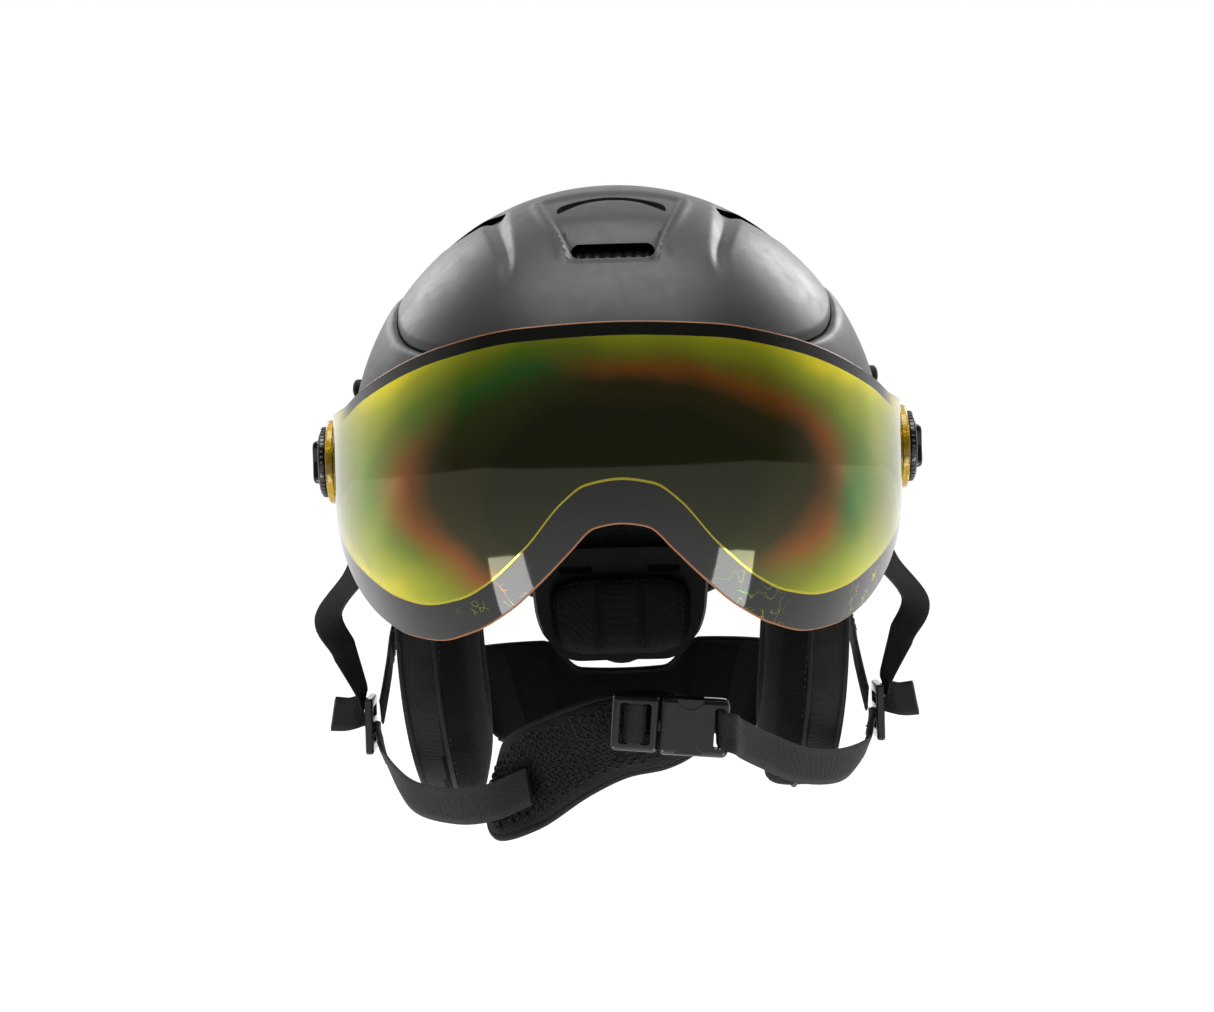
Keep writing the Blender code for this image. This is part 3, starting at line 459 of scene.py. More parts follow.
@dataclass(frozen=True)
class LensPatch:
    """The visor's surface: a squarish oval turned about the pivot axis."""

    half_width: float = 0.120
    reach: float = 0.146
    power: float = 2.4
    wall: float = 0.0022
    lug: float = 0.021
    top: Line = ((0, 0.051), (15, 0.0495), (28, 0.044), (47, 0.030), (58, 0.022), (75, 0.0195), (90, 0.021))
    foot: Line = (
        (0, -0.0235), (4, -0.025), (8, -0.034), (12.5, -0.0445), (18.5, -0.056), (26, -0.0645), (34, -0.0685),
        (42, -0.067), (50, -0.061), (58, -0.051), (65, -0.040), (73, -0.029), (82, -0.0225), (90, -0.021),
    )

    def point(self, bearing: float, height: float, inset: float) -> Vector:
        """The point of the surface in this direction from the upright axis, at this height."""
        angle = math.radians(bearing)
        cosine, sine = math.cos(angle), abs(math.sin(angle))
        low, high = 0.0, self.reach + self.half_width
        for _ in range(34):
            reach = 0.5 * (low + high)
            share = math.hypot(reach * cosine, height) / (self.reach - inset)
            left = max(1 - share**self.power, 0.0)
            wide = (self.half_width - inset) * left ** (1 / self.power)
            if share >= 1 or reach * sine > wide:
                high = reach
            else:
                low = reach
        return Vector((low * math.sin(angle), -low * cosine, height))

    def edges(self, bearing: float) -> tuple[float, float]:
        """The top and the foot of the lens at this bearing."""
        if abs(bearing) <= 90:
            return along(self.top, bearing), along(self.foot, bearing)
        behind = self.half_width * math.tan(math.radians(abs(bearing) - 90))
        half = math.sqrt(max(self.lug**2 - behind**2, 0.0))
        return half, -half


DOME = Dome()


# ------------------------------------------------------------------ mesh building


def new_object(name: str, mesh: bpy.types.Mesh, material: bpy.types.Material) -> bpy.types.Object:
    """Puts a mesh in the scene with its one material."""
    mesh.materials.clear()
    mesh.materials.append(material)
    made = bpy.data.objects.new(name, mesh)
    bpy.context.scene.collection.objects.link(made)
    return made


def finished(name: str, shape: bmesh.types.BMesh, sharp: float = 35.0) -> bpy.types.Mesh:
    """Merges doubles, turns faces outwards and shades smooth.

    Args:
        name: The mesh's name.
        shape: The shape, which is freed.
        sharp: Edges bent more than this many degrees stay sharp.

    Returns:
        The mesh.
    """
    bmesh.ops.remove_doubles(shape, verts=shape.verts[:], dist=1e-6)
    bmesh.ops.dissolve_degenerate(shape, dist=1e-6, edges=shape.edges[:])
    bmesh.ops.recalc_face_normals(shape, faces=shape.faces[:])
    mesh = bpy.data.meshes.new(name)
    shape.to_mesh(mesh)
    shape.free()
    mesh.shade_smooth()
    mesh.set_sharp_from_angle(angle=math.radians(sharp))
    return mesh


def tube(name: str, rings: Sequence[Sequence[Vector]], sharp: float = 35.0) -> bpy.types.Mesh:
    """A solid through closed rings of points, with both ends filled.

    Args:
        name: The mesh's name.
        rings: The rings, each with as many points as the others.
        sharp: Edges bent more than this many degrees stay sharp.

    Returns:
        The mesh.
    """
    shape = bmesh.new()
    grid = [[shape.verts.new(p) for p in ring] for ring in rings]
    for near, far in zip(grid, grid[1:]):
        for j in range(len(near)):
            after = (j + 1) % len(near)
            shape.faces.new((near[j], near[after], far[after], far[j]))
    shape.faces.new(grid[0])
    shape.faces.new(grid[-1])
    return finished(name, shape, sharp)


def shade(target: bpy.types.Object, sharp: float) -> None:
    """Shades a piece smooth, apart from edges bent more than this many degrees."""
    target.data.shade_smooth()
    target.data.set_sharp_from_angle(angle=math.radians(sharp))


def rounded(radius: float, height: float, fillet: float) -> list[tuple[float, float]]:
    """The part of a profile that rounds a turned solid's upper outer edge."""
    angles = [math.pi / 8 * k for k in range(1, 5)]
    return [(radius - fillet * (1 - math.cos(a)), height - fillet + fillet * math.sin(a)) for a in angles]


def skin(name: str, outer: list, inner: list, around: bool = False, sharp: float = 35.0) -> bpy.types.Mesh:
    """A closed wall between two grids of points.

    Args:
        name: The mesh's name.
        outer: Columns of points on one face.
        inner: The same on the other face.
        around: Whether the last column joins the first.
        sharp: Edges bent more than this many degrees stay sharp.

    Returns:
        The mesh.
    """
    shape = bmesh.new()
    sheets = [[[shape.verts.new(p) for p in column] for column in grid] for grid in (outer, inner)]
    columns, rows = len(outer), len(outer[0])
    spans = range(columns if around else columns - 1)
    for sheet in sheets:
        for i in spans:
            left, right = sheet[i], sheet[(i + 1) % columns]
            for j in range(rows - 1):
                shape.faces.new((left[j], left[j + 1], right[j + 1], right[j]))
    for i in spans:
        after = (i + 1) % columns
        for j in (0, rows - 1):
            shape.faces.new((sheets[0][i][j], sheets[0][after][j], sheets[1][after][j], sheets[1][i][j]))
    if not around:
        for i in (0, columns - 1):
            for j in range(rows - 1):
                a, b = sheets[0][i], sheets[1][i]
                shape.faces.new((a[j], a[j + 1], b[j + 1], b[j]))
    return finished(name, shape, sharp)


def bowl(name: str, outer: list, inner: list, crowns: Sequence[Vector]) -> bpy.types.Mesh:
    """A closed bowl from two rings of columns, which start just below their crowns."""
    shape = bmesh.new()
    rims = []
    for grid, crown in zip((outer, inner), crowns):
        top = shape.verts.new(crown)
        sheet = [[shape.verts.new(p) for p in column] for column in grid]
        count = len(sheet)
        for i in range(count):
            left, right = sheet[i], sheet[(i + 1) % count]
            shape.faces.new((top, left[0], right[0]))
            for j in range(len(left) - 1):
                shape.faces.new((left[j], left[j + 1], right[j + 1], right[j]))
        rims.append([column[-1] for column in sheet])
    count = len(rims[0])
    for i in range(count):
        after = (i + 1) % count
        shape.faces.new((rims[0][i], rims[0][after], rims[1][after], rims[1][i]))
    return finished(name, shape)


def prism(name: str, rim: Sequence[Vector], run: Vector) -> bpy.types.Mesh:
    """A solid swept straight from an outline."""
    shape = bmesh.new()
    near = [shape.verts.new(p) for p in rim]
    far = [shape.verts.new(p + run) for p in rim]
    shape.faces.new(near)
    shape.faces.new(far)
    for k in range(len(rim)):
        after = (k + 1) % len(rim)
        shape.faces.new((near[k], near[after], far[after], far[k]))
    return finished(name, shape)


def turned(name: str, profile: Line, segments: int, place: Matrix) -> bpy.types.Mesh:
    """A solid turned about its own Z, from a profile of (radius, height)."""
    shape = bmesh.new()
    columns = []
    for k in range(segments):
        angle = 2 * math.pi * k / segments
        columns.append([shape.verts.new((r * math.cos(angle), r * math.sin(angle), h)) for r, h in profile])
    for i in range(segments):
        left, right = columns[i], columns[(i + 1) % segments]
        for j in range(len(profile) - 1):
            shape.faces.new((left[j], left[j + 1], right[j + 1], right[j]))
        if profile[0][0] > 0:
            shape.faces.new((left[-1], left[0], right[0], right[-1]))
    bmesh.ops.transform(shape, matrix=place, verts=shape.verts)
    return finished(name, shape)


def block(name: str, size: Sequence[float], place: Matrix, bevel: float, segments: int = 3) -> bpy.types.Mesh:
    """A block with rounded edges."""
    shape = bmesh.new()
    bmesh.ops.create_cube(shape, size=1.0)
    bmesh.ops.scale(shape, vec=size, verts=shape.verts)
    if bevel:
        edges = shape.edges[:]
        bmesh.ops.bevel(shape, geom=edges, offset=bevel, segments=segments, profile=0.5, affect="EDGES")
    bmesh.ops.transform(shape, matrix=place, verts=shape.verts)
    return finished(name, shape)


def combine(target: bpy.types.Object, tool: bpy.types.Mesh, operation: str = "DIFFERENCE") -> None:
    """Cuts a shape out of a piece or adds it, and applies that."""
    other = bpy.data.objects.new("tool", tool)
    bpy.context.scene.collection.objects.link(other)
    step = target.modifiers.new("step", "BOOLEAN")
    step.operation = operation
    step.object = other
    step.solver = "EXACT"
    bake(target)
    bpy.data.objects.remove(other)


def bake(target: bpy.types.Object) -> None:
    """Applies every modifier of a piece."""
    bpy.context.view_layer.update()
    graph = bpy.context.evaluated_depsgraph_get()
    mesh = bpy.data.meshes.new_from_object(target.evaluated_get(graph))
    target.modifiers.clear()
    target.data = mesh


def soften(target: bpy.types.Object, width: float, angle: float = 40.0) -> None:
    """Rounds a piece's sharp edges."""
    bevel = target.modifiers.new("edges", "BEVEL")
    bevel.width = width
    bevel.segments = 2
    bevel.limit_method = "ANGLE"
    bevel.angle_limit = math.radians(angle)
    bake(target)
    target.data.shade_smooth()
    even_normals(target, 45)


def even_normals(target: bpy.types.Object, sharp: float) -> None:
    """Keeps large flat faces flat beside rounded edges."""
    target.data.set_sharp_from_angle(angle=math.radians(sharp))
    normals = target.modifiers.new("normals", "WEIGHTED_NORMAL")
    normals.keep_sharp = True
    normals.weight = 60
    bake(target)


def smooth_path(points: Sequence[Vector], steps: int) -> list[Vector]:
    """Points along a curve that passes through each given point."""
    ends = [2 * points[0] - points[1], *points, 2 * points[-1] - points[-2]]
    path = []
    for a, b, c, d in zip(ends, ends[1:], ends[2:], ends[3:]):
        for k in range(steps):
            t = k / steps
            bend = (2 * a - 5 * b + 4 * c - d) * t**2 + (3 * b - a - 3 * c + d) * t**3
            path.append(0.5 * (2 * b + (c - a) * t + bend))
    path.append(points[-1])
    return path


def outwards(side: Side, x: float, y: float = 0.0, z: float = 0.0) -> Matrix:
    """Stands a turned solid on the helmet's side, its own Z away from the head."""
    turn = Matrix.Rotation(side.value * math.pi / 2, 4, "Y")
    return Matrix.Translation((side.value * x, y, z)) @ turn


def polyline(name: str, points: Sequence[Vector], closed: bool = False) -> bpy.types.Mesh:
    """A mesh of edges along points, for a Geometry Nodes tree to follow."""
    mesh = bpy.data.meshes.new(name)
    edges = [(k, k + 1) for k in range(len(points) - 1)]
    if closed:
        edges.append((len(points) - 1, 0))
    mesh.from_pydata([tuple(p) for p in points], edges, [])
    return mesh


# ------------------------------------------------------------------ Geometry Nodes


class GrowTree:
    """A Geometry Nodes tree with named inputs, ended by Realize Instances and Set Material."""

    def __init__(self, name: str, **sizes: float) -> None:
        """Starts the tree.

        Args:
            name: The tree's name.
            **sizes: Its inputs and their usual values.
        """
        self.tree = bpy.data.node_groups.new(name, "GeometryNodeTree")
        face = self.tree.interface
        face.new_socket("Geometry", in_out="INPUT", socket_type="NodeSocketGeometry")
        for key, value in sizes.items():
            socket = face.new_socket(key, in_out="INPUT", socket_type="NodeSocketFloat")
            socket.default_value = value
        face.new_socket("Material", in_out="INPUT", socket_type="NodeSocketMaterial")
        face.new_socket("Geometry", in_out="OUTPUT", socket_type="NodeSocketGeometry")
        self.entry = self.node("NodeGroupInput")
        self.exit = self.node("NodeGroupOutput")

    def node(self, kind: str, **settings: object) -> bpy.types.Node:
        """Adds a node, with its properties set."""
        made = self.tree.nodes.new(kind)
        for key, value in settings.items():
            setattr(made, key, value)
        return made

    def link(self, source: bpy.types.NodeSocket, target: bpy.types.NodeSocket) -> None:
        """Joins two sockets."""
        self.tree.links.new(source, target)

    def given(self, name: str) -> bpy.types.NodeSocket:
        """One of the tree's inputs."""
        return self.entry.outputs[name]

    def even_line(self, spacing: str) -> bpy.types.NodeSocket:
        """The host's edges as a curve, with points this input's distance apart."""
        line = self.node("GeometryNodeMeshToCurve")
        resample = self.node("GeometryNodeResampleCurve")
        resample.mode = "LENGTH"
        self.link(self.given("Geometry"), line.inputs[0])
        self.link(line.outputs[0], resample.inputs["Curve"])
        self.link(self.given(spacing), resample.inputs["Length"])
        return resample.outputs[0]

    def stand(self, points: bpy.types.NodeSocket, piece: bpy.types.NodeSocket,
              heading: bpy.types.NodeSocket) -> bpy.types.Node:
        """Puts a copy of a piece on each point, its Z along the heading."""
        align = self.node("FunctionNodeAlignRotationToVector", axis="Z")
        self.link(heading, align.inputs["Vector"])
        placed = self.node("GeometryNodeInstanceOnPoints")
        self.link(points, placed.inputs["Points"])
        self.link(piece, placed.inputs["Instance"])
        self.link(align.outputs[0], placed.inputs["Rotation"])
        return placed

    def stored_heading(self) -> bpy.types.NodeSocket:
        """The direction stored on each point of the host."""
        stored = self.node("GeometryNodeInputNamedAttribute", data_type="FLOAT_VECTOR")
        stored.inputs["Name"].default_value = "heading"
        return stored.outputs["Attribute"]

    def end(self, geometry: bpy.types.NodeSocket) -> None:
        """Realizes the instances, shades them smooth and sets the material."""
        real = self.node("GeometryNodeRealizeInstances")
        smooth = self.node("GeometryNodeSetShadeSmooth")
        paint = self.node("GeometryNodeSetMaterial")
        self.link(geometry, real.inputs[0])
        self.link(real.outputs[0], smooth.inputs[0])
        self.link(smooth.outputs[0], paint.inputs["Geometry"])
        self.link(self.given("Material"), paint.inputs["Material"])
        self.link(paint.outputs[0], self.exit.inputs[0])

    def grow(self, name: str, host: bpy.types.Mesh, material: bpy.types.Material,
             **sizes: float) -> bpy.types.Object:
        """Runs the tree on a mesh and keeps the result as a plain piece.

        Args:
            name: The piece's name.
            host: The mesh that the tree starts from.
            material: The piece's material.
            **sizes: Values for the tree's inputs.

        Returns:
            The piece.
        """
        made = bpy.data.objects.new(name, host)
        bpy.context.scene.collection.objects.link(made)
        step = made.modifiers.new("grow", "NODES")
        step.node_group = self.tree
        for item in self.tree.interface.items_tree:
            if item.in_out == "INPUT" and item.name in sizes:
                step[item.identifier] = float(sizes[item.name])
            if item.in_out == "INPUT" and item.name == "Material":
                step[item.identifier] = material
        bake(made)
        return made


def stitch_tree() -> GrowTree:
    """Stitches laid end to end along a line."""
    tree = GrowTree("stitches", Pitch=0.003, Length=0.002, Thickness=0.0003)
    points = tree.even_line("Pitch")
    bead = tree.node("GeometryNodeMeshUVSphere")
    bead.inputs["Segments"].default_value = 6
    bead.inputs["Rings"].default_value = 5
    bead.inputs["Radius"].default_value = 1.0
    size = tree.node("ShaderNodeCombineXYZ")
    half = tree.node("ShaderNodeMath", operation="MULTIPLY")
    half.inputs[1].default_value = 0.5
    tree.link(tree.given("Length"), half.inputs[0])
    for k in (0, 1):
        tree.link(tree.given("Thickness"), size.inputs[k])
    tree.link(half.outputs[0], size.inputs[2])
    lay = tree.stand(points, bead.outputs[0], tree.node("GeometryNodeInputTangent").outputs[0])
    tree.link(size.outputs[0], lay.inputs["Scale"])
    tree.end(lay.outputs[0])
    return tree


def piping_tree() -> GrowTree:
    """A round cord along a line."""
    tree = GrowTree("piping", Radius=0.001, Spacing=0.0015)
    points = tree.even_line("Spacing")
    ring = tree.node("GeometryNodeCurvePrimitiveCircle")
    ring.inputs["Resolution"].default_value = 8
    sweep = tree.node("GeometryNodeCurveToMesh")
    sweep.inputs["Fill Caps"].default_value = True
    tree.link(tree.given("Radius"), ring.inputs["Radius"])
    tree.link(points, sweep.inputs["Curve"])
    tree.link(ring.outputs[0], sweep.inputs["Profile Curve"])
    tree.end(sweep.outputs[0])
    return tree


def rib_tree() -> GrowTree:
    """Rounded ribs that stand on the points of a mesh, turned to its stored directions."""
    tree = GrowTree("ribs", Width=0.001, Height=0.001, Length=0.005)
    bar = tree.node("GeometryNodeMeshUVSphere")
    bar.inputs["Segments"].default_value = 8
    bar.inputs["Rings"].default_value = 6
    bar.inputs["Radius"].default_value = 0.5
    size = tree.node("ShaderNodeCombineXYZ")
    for k, key in enumerate(("Width", "Height", "Length")):
        tree.link(tree.given(key), size.inputs[k])
    stand = tree.stand(tree.given("Geometry"), bar.outputs[0], tree.stored_heading())
    tree.link(size.outputs[0], stand.inputs["Scale"])
    tree.end(stand.outputs[0])
    return tree


def eyelet_tree() -> GrowTree:
    """Small rings round the holes of a mesh fabric, each turned to face outwards."""
    tree = GrowTree("eyelets", Hole=0.0011, Yarn=0.00035)
    hoop = tree.node("GeometryNodeCurvePrimitiveCircle")
    hoop.inputs["Resolution"].default_value = 8
    yarn = tree.node("GeometryNodeCurvePrimitiveCircle")
    yarn.inputs["Resolution"].default_value = 4
    sweep = tree.node("GeometryNodeCurveToMesh")
    tree.link(tree.given("Hole"), hoop.inputs["Radius"])
    tree.link(tree.given("Yarn"), yarn.inputs["Radius"])
    tree.link(hoop.outputs[0], sweep.inputs["Curve"])
    tree.link(yarn.outputs[0], sweep.inputs["Profile Curve"])
    tree.end(tree.stand(tree.given("Geometry"), sweep.outputs[0], tree.stored_heading()).outputs[0])
    return tree


def headed_points(name: str, points: Sequence[Vector], headings: Sequence[Vector]) -> bpy.types.Mesh:
    """Loose points that each store a direction."""
    mesh = bpy.data.meshes.new(name)
    mesh.from_pydata([tuple(p) for p in points], [], [])
    stored = mesh.attributes.new("heading", "FLOAT_VECTOR", "POINT")
    for item, heading in zip(stored.data, headings):
        item.vector = heading
    return mesh


@dataclass
class Workshop:
    """What every sub-assembly builds with: the finishes and the trees."""

    palette: Palette = field(default_factory=Palette)
    stitches: GrowTree = field(default_factory=stitch_tree)
    piping: GrowTree = field(default_factory=piping_tree)
    ribs: GrowTree = field(default_factory=rib_tree)
    eyelets: GrowTree = field(default_factory=eyelet_tree)

    def fit(self, piece: bpy.types.Object, body: str, slot: str, *nodes: str) -> bpy.types.Object:
        """Puts a finished piece on its body, for the CAD nodes it stands for."""
        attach(piece, body)
        if nodes:
            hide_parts(*nodes)
        LOG.info("%s rides on %s, %d faces", piece.name, body, len(piece.data.polygons))
        return piece

    def add(self, name: str, mesh: bpy.types.Mesh, finish: str, body: str, slot: str,
            *nodes: str) -> bpy.types.Object:
        """Makes a piece from a mesh and puts it on its body."""
        return self.fit(new_object(name, mesh, self.palette[finish]), body, slot, *nodes)

    def trim(self, tree: GrowTree, name: str, host: bpy.types.Mesh, finish: str, body: str, slot: str,
             **sizes: float) -> None:
        """Grows a tree on a mesh and puts the result on its body."""
        self.fit(tree.grow(name, host, self.palette[finish], **sizes), body, slot)

    def dress(self, node: str, finish: str) -> None:
        """Gives a CAD node that stays in sight its material."""
        mesh = frame["nodes"][node].data
        mesh.materials.clear()
        mesh.materials.append(self.palette[finish])


# ------------------------------------------------------------------ shells


@dataclass
class HardShell:
    """The upper shell with its front intake, the lower shell and the rubber along its rim."""

    shop: Workshop
    split: float = 0.0007
    proud: float = 0.0012
    columns: int = 300
    rows: int = 84
    slot_half: float = 0.0165
    slot_tall: float = 0.0062
    slot_height: float = 0.0815
    recess_depth: float = 0.0034

    def relief(self, point: Vector) -> float:
        """How far the outer face is sunk: the intake's scooped recess, its raised sides and the creases."""
        x, y, z = abs(point.x), point.y, point.z
        if y > -0.005:
            return 0.0
        half = 0.0190 + 0.0115 * smoothstep(z, 0.080, 0.107)
        reach = smoothstep(y, -0.036, -0.043) * smoothstep(z, 0.0765, 0.0805)
        mouth = smoothstep(x, half, half - 0.0038) * reach
        sunk = mouth * (0.0012 + self.recess_depth * smoothstep(z, 0.0985, 0.0870))
        sunk -= 0.0009 * smoothstep(x, half + 0.0050, half) * reach * (1 - mouth)
        flare = smoothstep(z, 0.0765, 0.103)
        crease_line, crease_width = 0.0420 + 0.0065 * flare, 0.0034 + 0.0038 * flare
        groove = smoothstep(abs(x - crease_line), crease_width, 0.0) * smoothstep(z, 0.068, 0.086)
        sunk += 0.0026 * groove * smoothstep(y, -0.010, -0.032)
        return sunk

    def upper(self) -> None:
        """The upper shell, sunk at the front for the intake and cut for its slots and vents."""
        grids = []
        for inset in (0.0, DOME.wall):
            grid = []
            for k in range(self.columns):
                bearing = 360 * k / self.columns
                turn = signed(bearing)
                foot = along(DOME.parting, turn) + self.split
                column = []
                for p in DOME.column(bearing, foot, inset, self.rows)[1:]:
                    slope = (p.x / DOME.half_width**2, p.y / DOME.front**2, p.z / DOME.crown**2)
                    away = Vector(slope).normalized()
                    rolled = 0.0013 * smoothstep(p.z, foot + 0.0026, foot) if inset == 0 else 0.0
                    column.append(p - away * (self.relief(p) + rolled))
                grid.append(column)
            grids.append(grid)
        crowns = (Vector((0, 0, DOME.crown)), Vector((0, 0, DOME.crown - DOME.wall)))
        shell = new_object("shell_upper", bowl("shell_upper", *grids, crowns), self.shop.palette["shell"])
        combine(shell, self.front_slot())
        combine(shell, self.arch_slot())
        for side in Side:
            combine(shell, self.vent(side.value * 74, 0.0945, 0.034, 0.0125, side.value * -0.30))
            combine(shell, self.vent(side.value * 155, 0.080, 0.040, 0.011, side.value * 0.16))
        shade(shell, 38)
        self.shop.fit(shell, "helmet", "shell", "upper_shell")

    def front_slot(self) -> bpy.types.Mesh:
        """The cutter of the lower front slot, with round ends."""
        radius = self.slot_tall / 2
        rim = []
        for end in (1, -1):
            for k in range(9):
                angle = math.radians(-90 + 22.5 * k)
                x = end * (self.slot_half - radius + radius * math.cos(angle))
                rim.append(Vector((x, -0.15, self.slot_height + end * radius * math.sin(angle))))
        return prism("front_slot", rim, Vector((0, 0.11, 0)))

    def arch_slot(self) -> bpy.types.Mesh:
        """The cutter of the arched slot above the tongue, whose ends droop and widen."""
        rim, back = [], []
        for k in range(25):
            share = math.sin(math.radians(-90 + 7.5 * k))
            middle = -0.0465 - 0.0085 * share * share
            half = (0.0019 + 0.0034 * share**4) * math.sqrt(max(1 - share**14, 0.0)) + 0.0002
            rim.append(Vector((0.0222 * share, middle - half, 0.14)))
            back.append(Vector((0.0222 * share, middle + half, 0.14)))
        return prism("arch_slot", rim + back[::-1], Vector((0, 0, -0.055)))

    def vent(self, bearing: float, height: float, length: float, width: float,
             slope: float) -> bpy.types.Mesh:
        """The cutter of a lens-shaped vent."""
        outside, inside = (DOME.point(bearing, height, inset) for inset in (-0.004, 0.012))
        out = (outside - inside).normalized()
        across = out.cross(Vector((0, 0, 1))).normalized()
        up = across.cross(out)
        tilt = Matrix.Rotation(slope, 3, out)
        rim = []
        for k in range(28):
            angle = 2 * math.pi * k / 28
            long_way = tilt @ across * signed_power(math.cos(angle), 1.3) * length / 2
            rim.append(outside + out * 0.010 + long_way + tilt @ up * math.sin(angle) * width / 2)
        return prism("vent", rim, inside - outside - out * 0.014)

    def lower(self) -> None:
        """The lower shell, with rolled edges along the parting line and the rim."""
        rows = 22
        grids = []
        for inset in (-self.proud, DOME.wall - self.proud):
            grid = []
            for k in range(self.columns):
                bearing = 360 * k / self.columns
                turn = signed(bearing)
                top = along(DOME.parting, turn) - self.split
                foot = along(DOME.rim, turn)
                column = []
                for j in range(rows + 1):
                    share = j / rows
                    eased = 0.5 - 0.5 * math.cos(math.pi * share)
                    height = top + (foot - top) * eased
                    rolled = 0.0014 * (smoothstep(share, 0.12, 0.0) + smoothstep(share, 0.92, 1.0))
                    belt = 0.0016 * smoothstep(share, 0.46, 0.56) * smoothstep(abs(turn), 96, 128)
                    column.append(DOME.point(bearing, height, inset + (rolled + belt if inset < 0 else belt)))
                grid.append(column)
            grids.append(grid)
        mesh = skin("shell_lower", *grids, around=True)
        self.shop.add("shell_lower", mesh, "side_shell", "helmet", "side_shell", "lower_shell")

    def rim_trim(self) -> None:
        """The rubber bead that covers the shell's lower edge."""
        turns = [3 * k if k <= 60 else 3 * k - 360 for k in range(120)]
        points = [DOME.point(turn % 360, along(DOME.rim, turn), 0.0004) for turn in turns]
        self.shop.trim(self.shop.piping, "rim_trim", polyline("rim", points, True), "rubber",
                       "helmet", "side_shell", Radius=0.0017, Spacing=0.0022)

    def intake(self) -> None:
        """The ribbed insert behind the front slots."""
        outer, inner = [], []
        for k in range(25):
            bearing = -12 + k
            ripple = 0.0004 * math.cos(2 * math.pi * k / 3)
            outer.append([DOME.point(bearing, 0.0900 - 0.0155 * j / 6, 0.0080 + ripple) for j in range(7)])
            inner.append([DOME.point(bearing, 0.0900 - 0.0155 * j / 6, 0.0096) for j in range(7)])
        mesh = skin("intake_grille", outer, inner)
        self.shop.add("intake_grille", mesh, "gloss", "helmet", "grey_nylon", "intake_insert")

    def stops(self) -> None:
        """The rounded stops above the pivots."""
        for side in Side:
            node = f"visor_stop_{side.word}"
            low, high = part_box(node)
            centre = (low + high) / 2
            radius = (high.z - low.z) / 2
            tall = high.x - low.x
            base = low.x if side is Side.RIGHT else -high.x
            profile = [(0.0, -0.0022), (radius, -0.0022), (radius, 0.35 * tall)]
            for k in range(1, 7):
                angle = math.pi / 2 * k / 6
                profile.append((radius * math.cos(angle), 0.35 * tall + 0.65 * tall * math.sin(angle)))
            mesh = turned(f"stop_{side.word}", profile, 32, outwards(side, base, centre.y, centre.z))
            self.shop.add(f"stop_{side.word}", mesh, "rubber", "helmet", "gloss_black", node)

    def build(self) -> None:
        """Builds the shells."""
        self.upper()
        self.lower()
        self.rim_trim()
        self.intake()
        self.stops()


# ------------------------------------------------------------------ liner and comfort pads


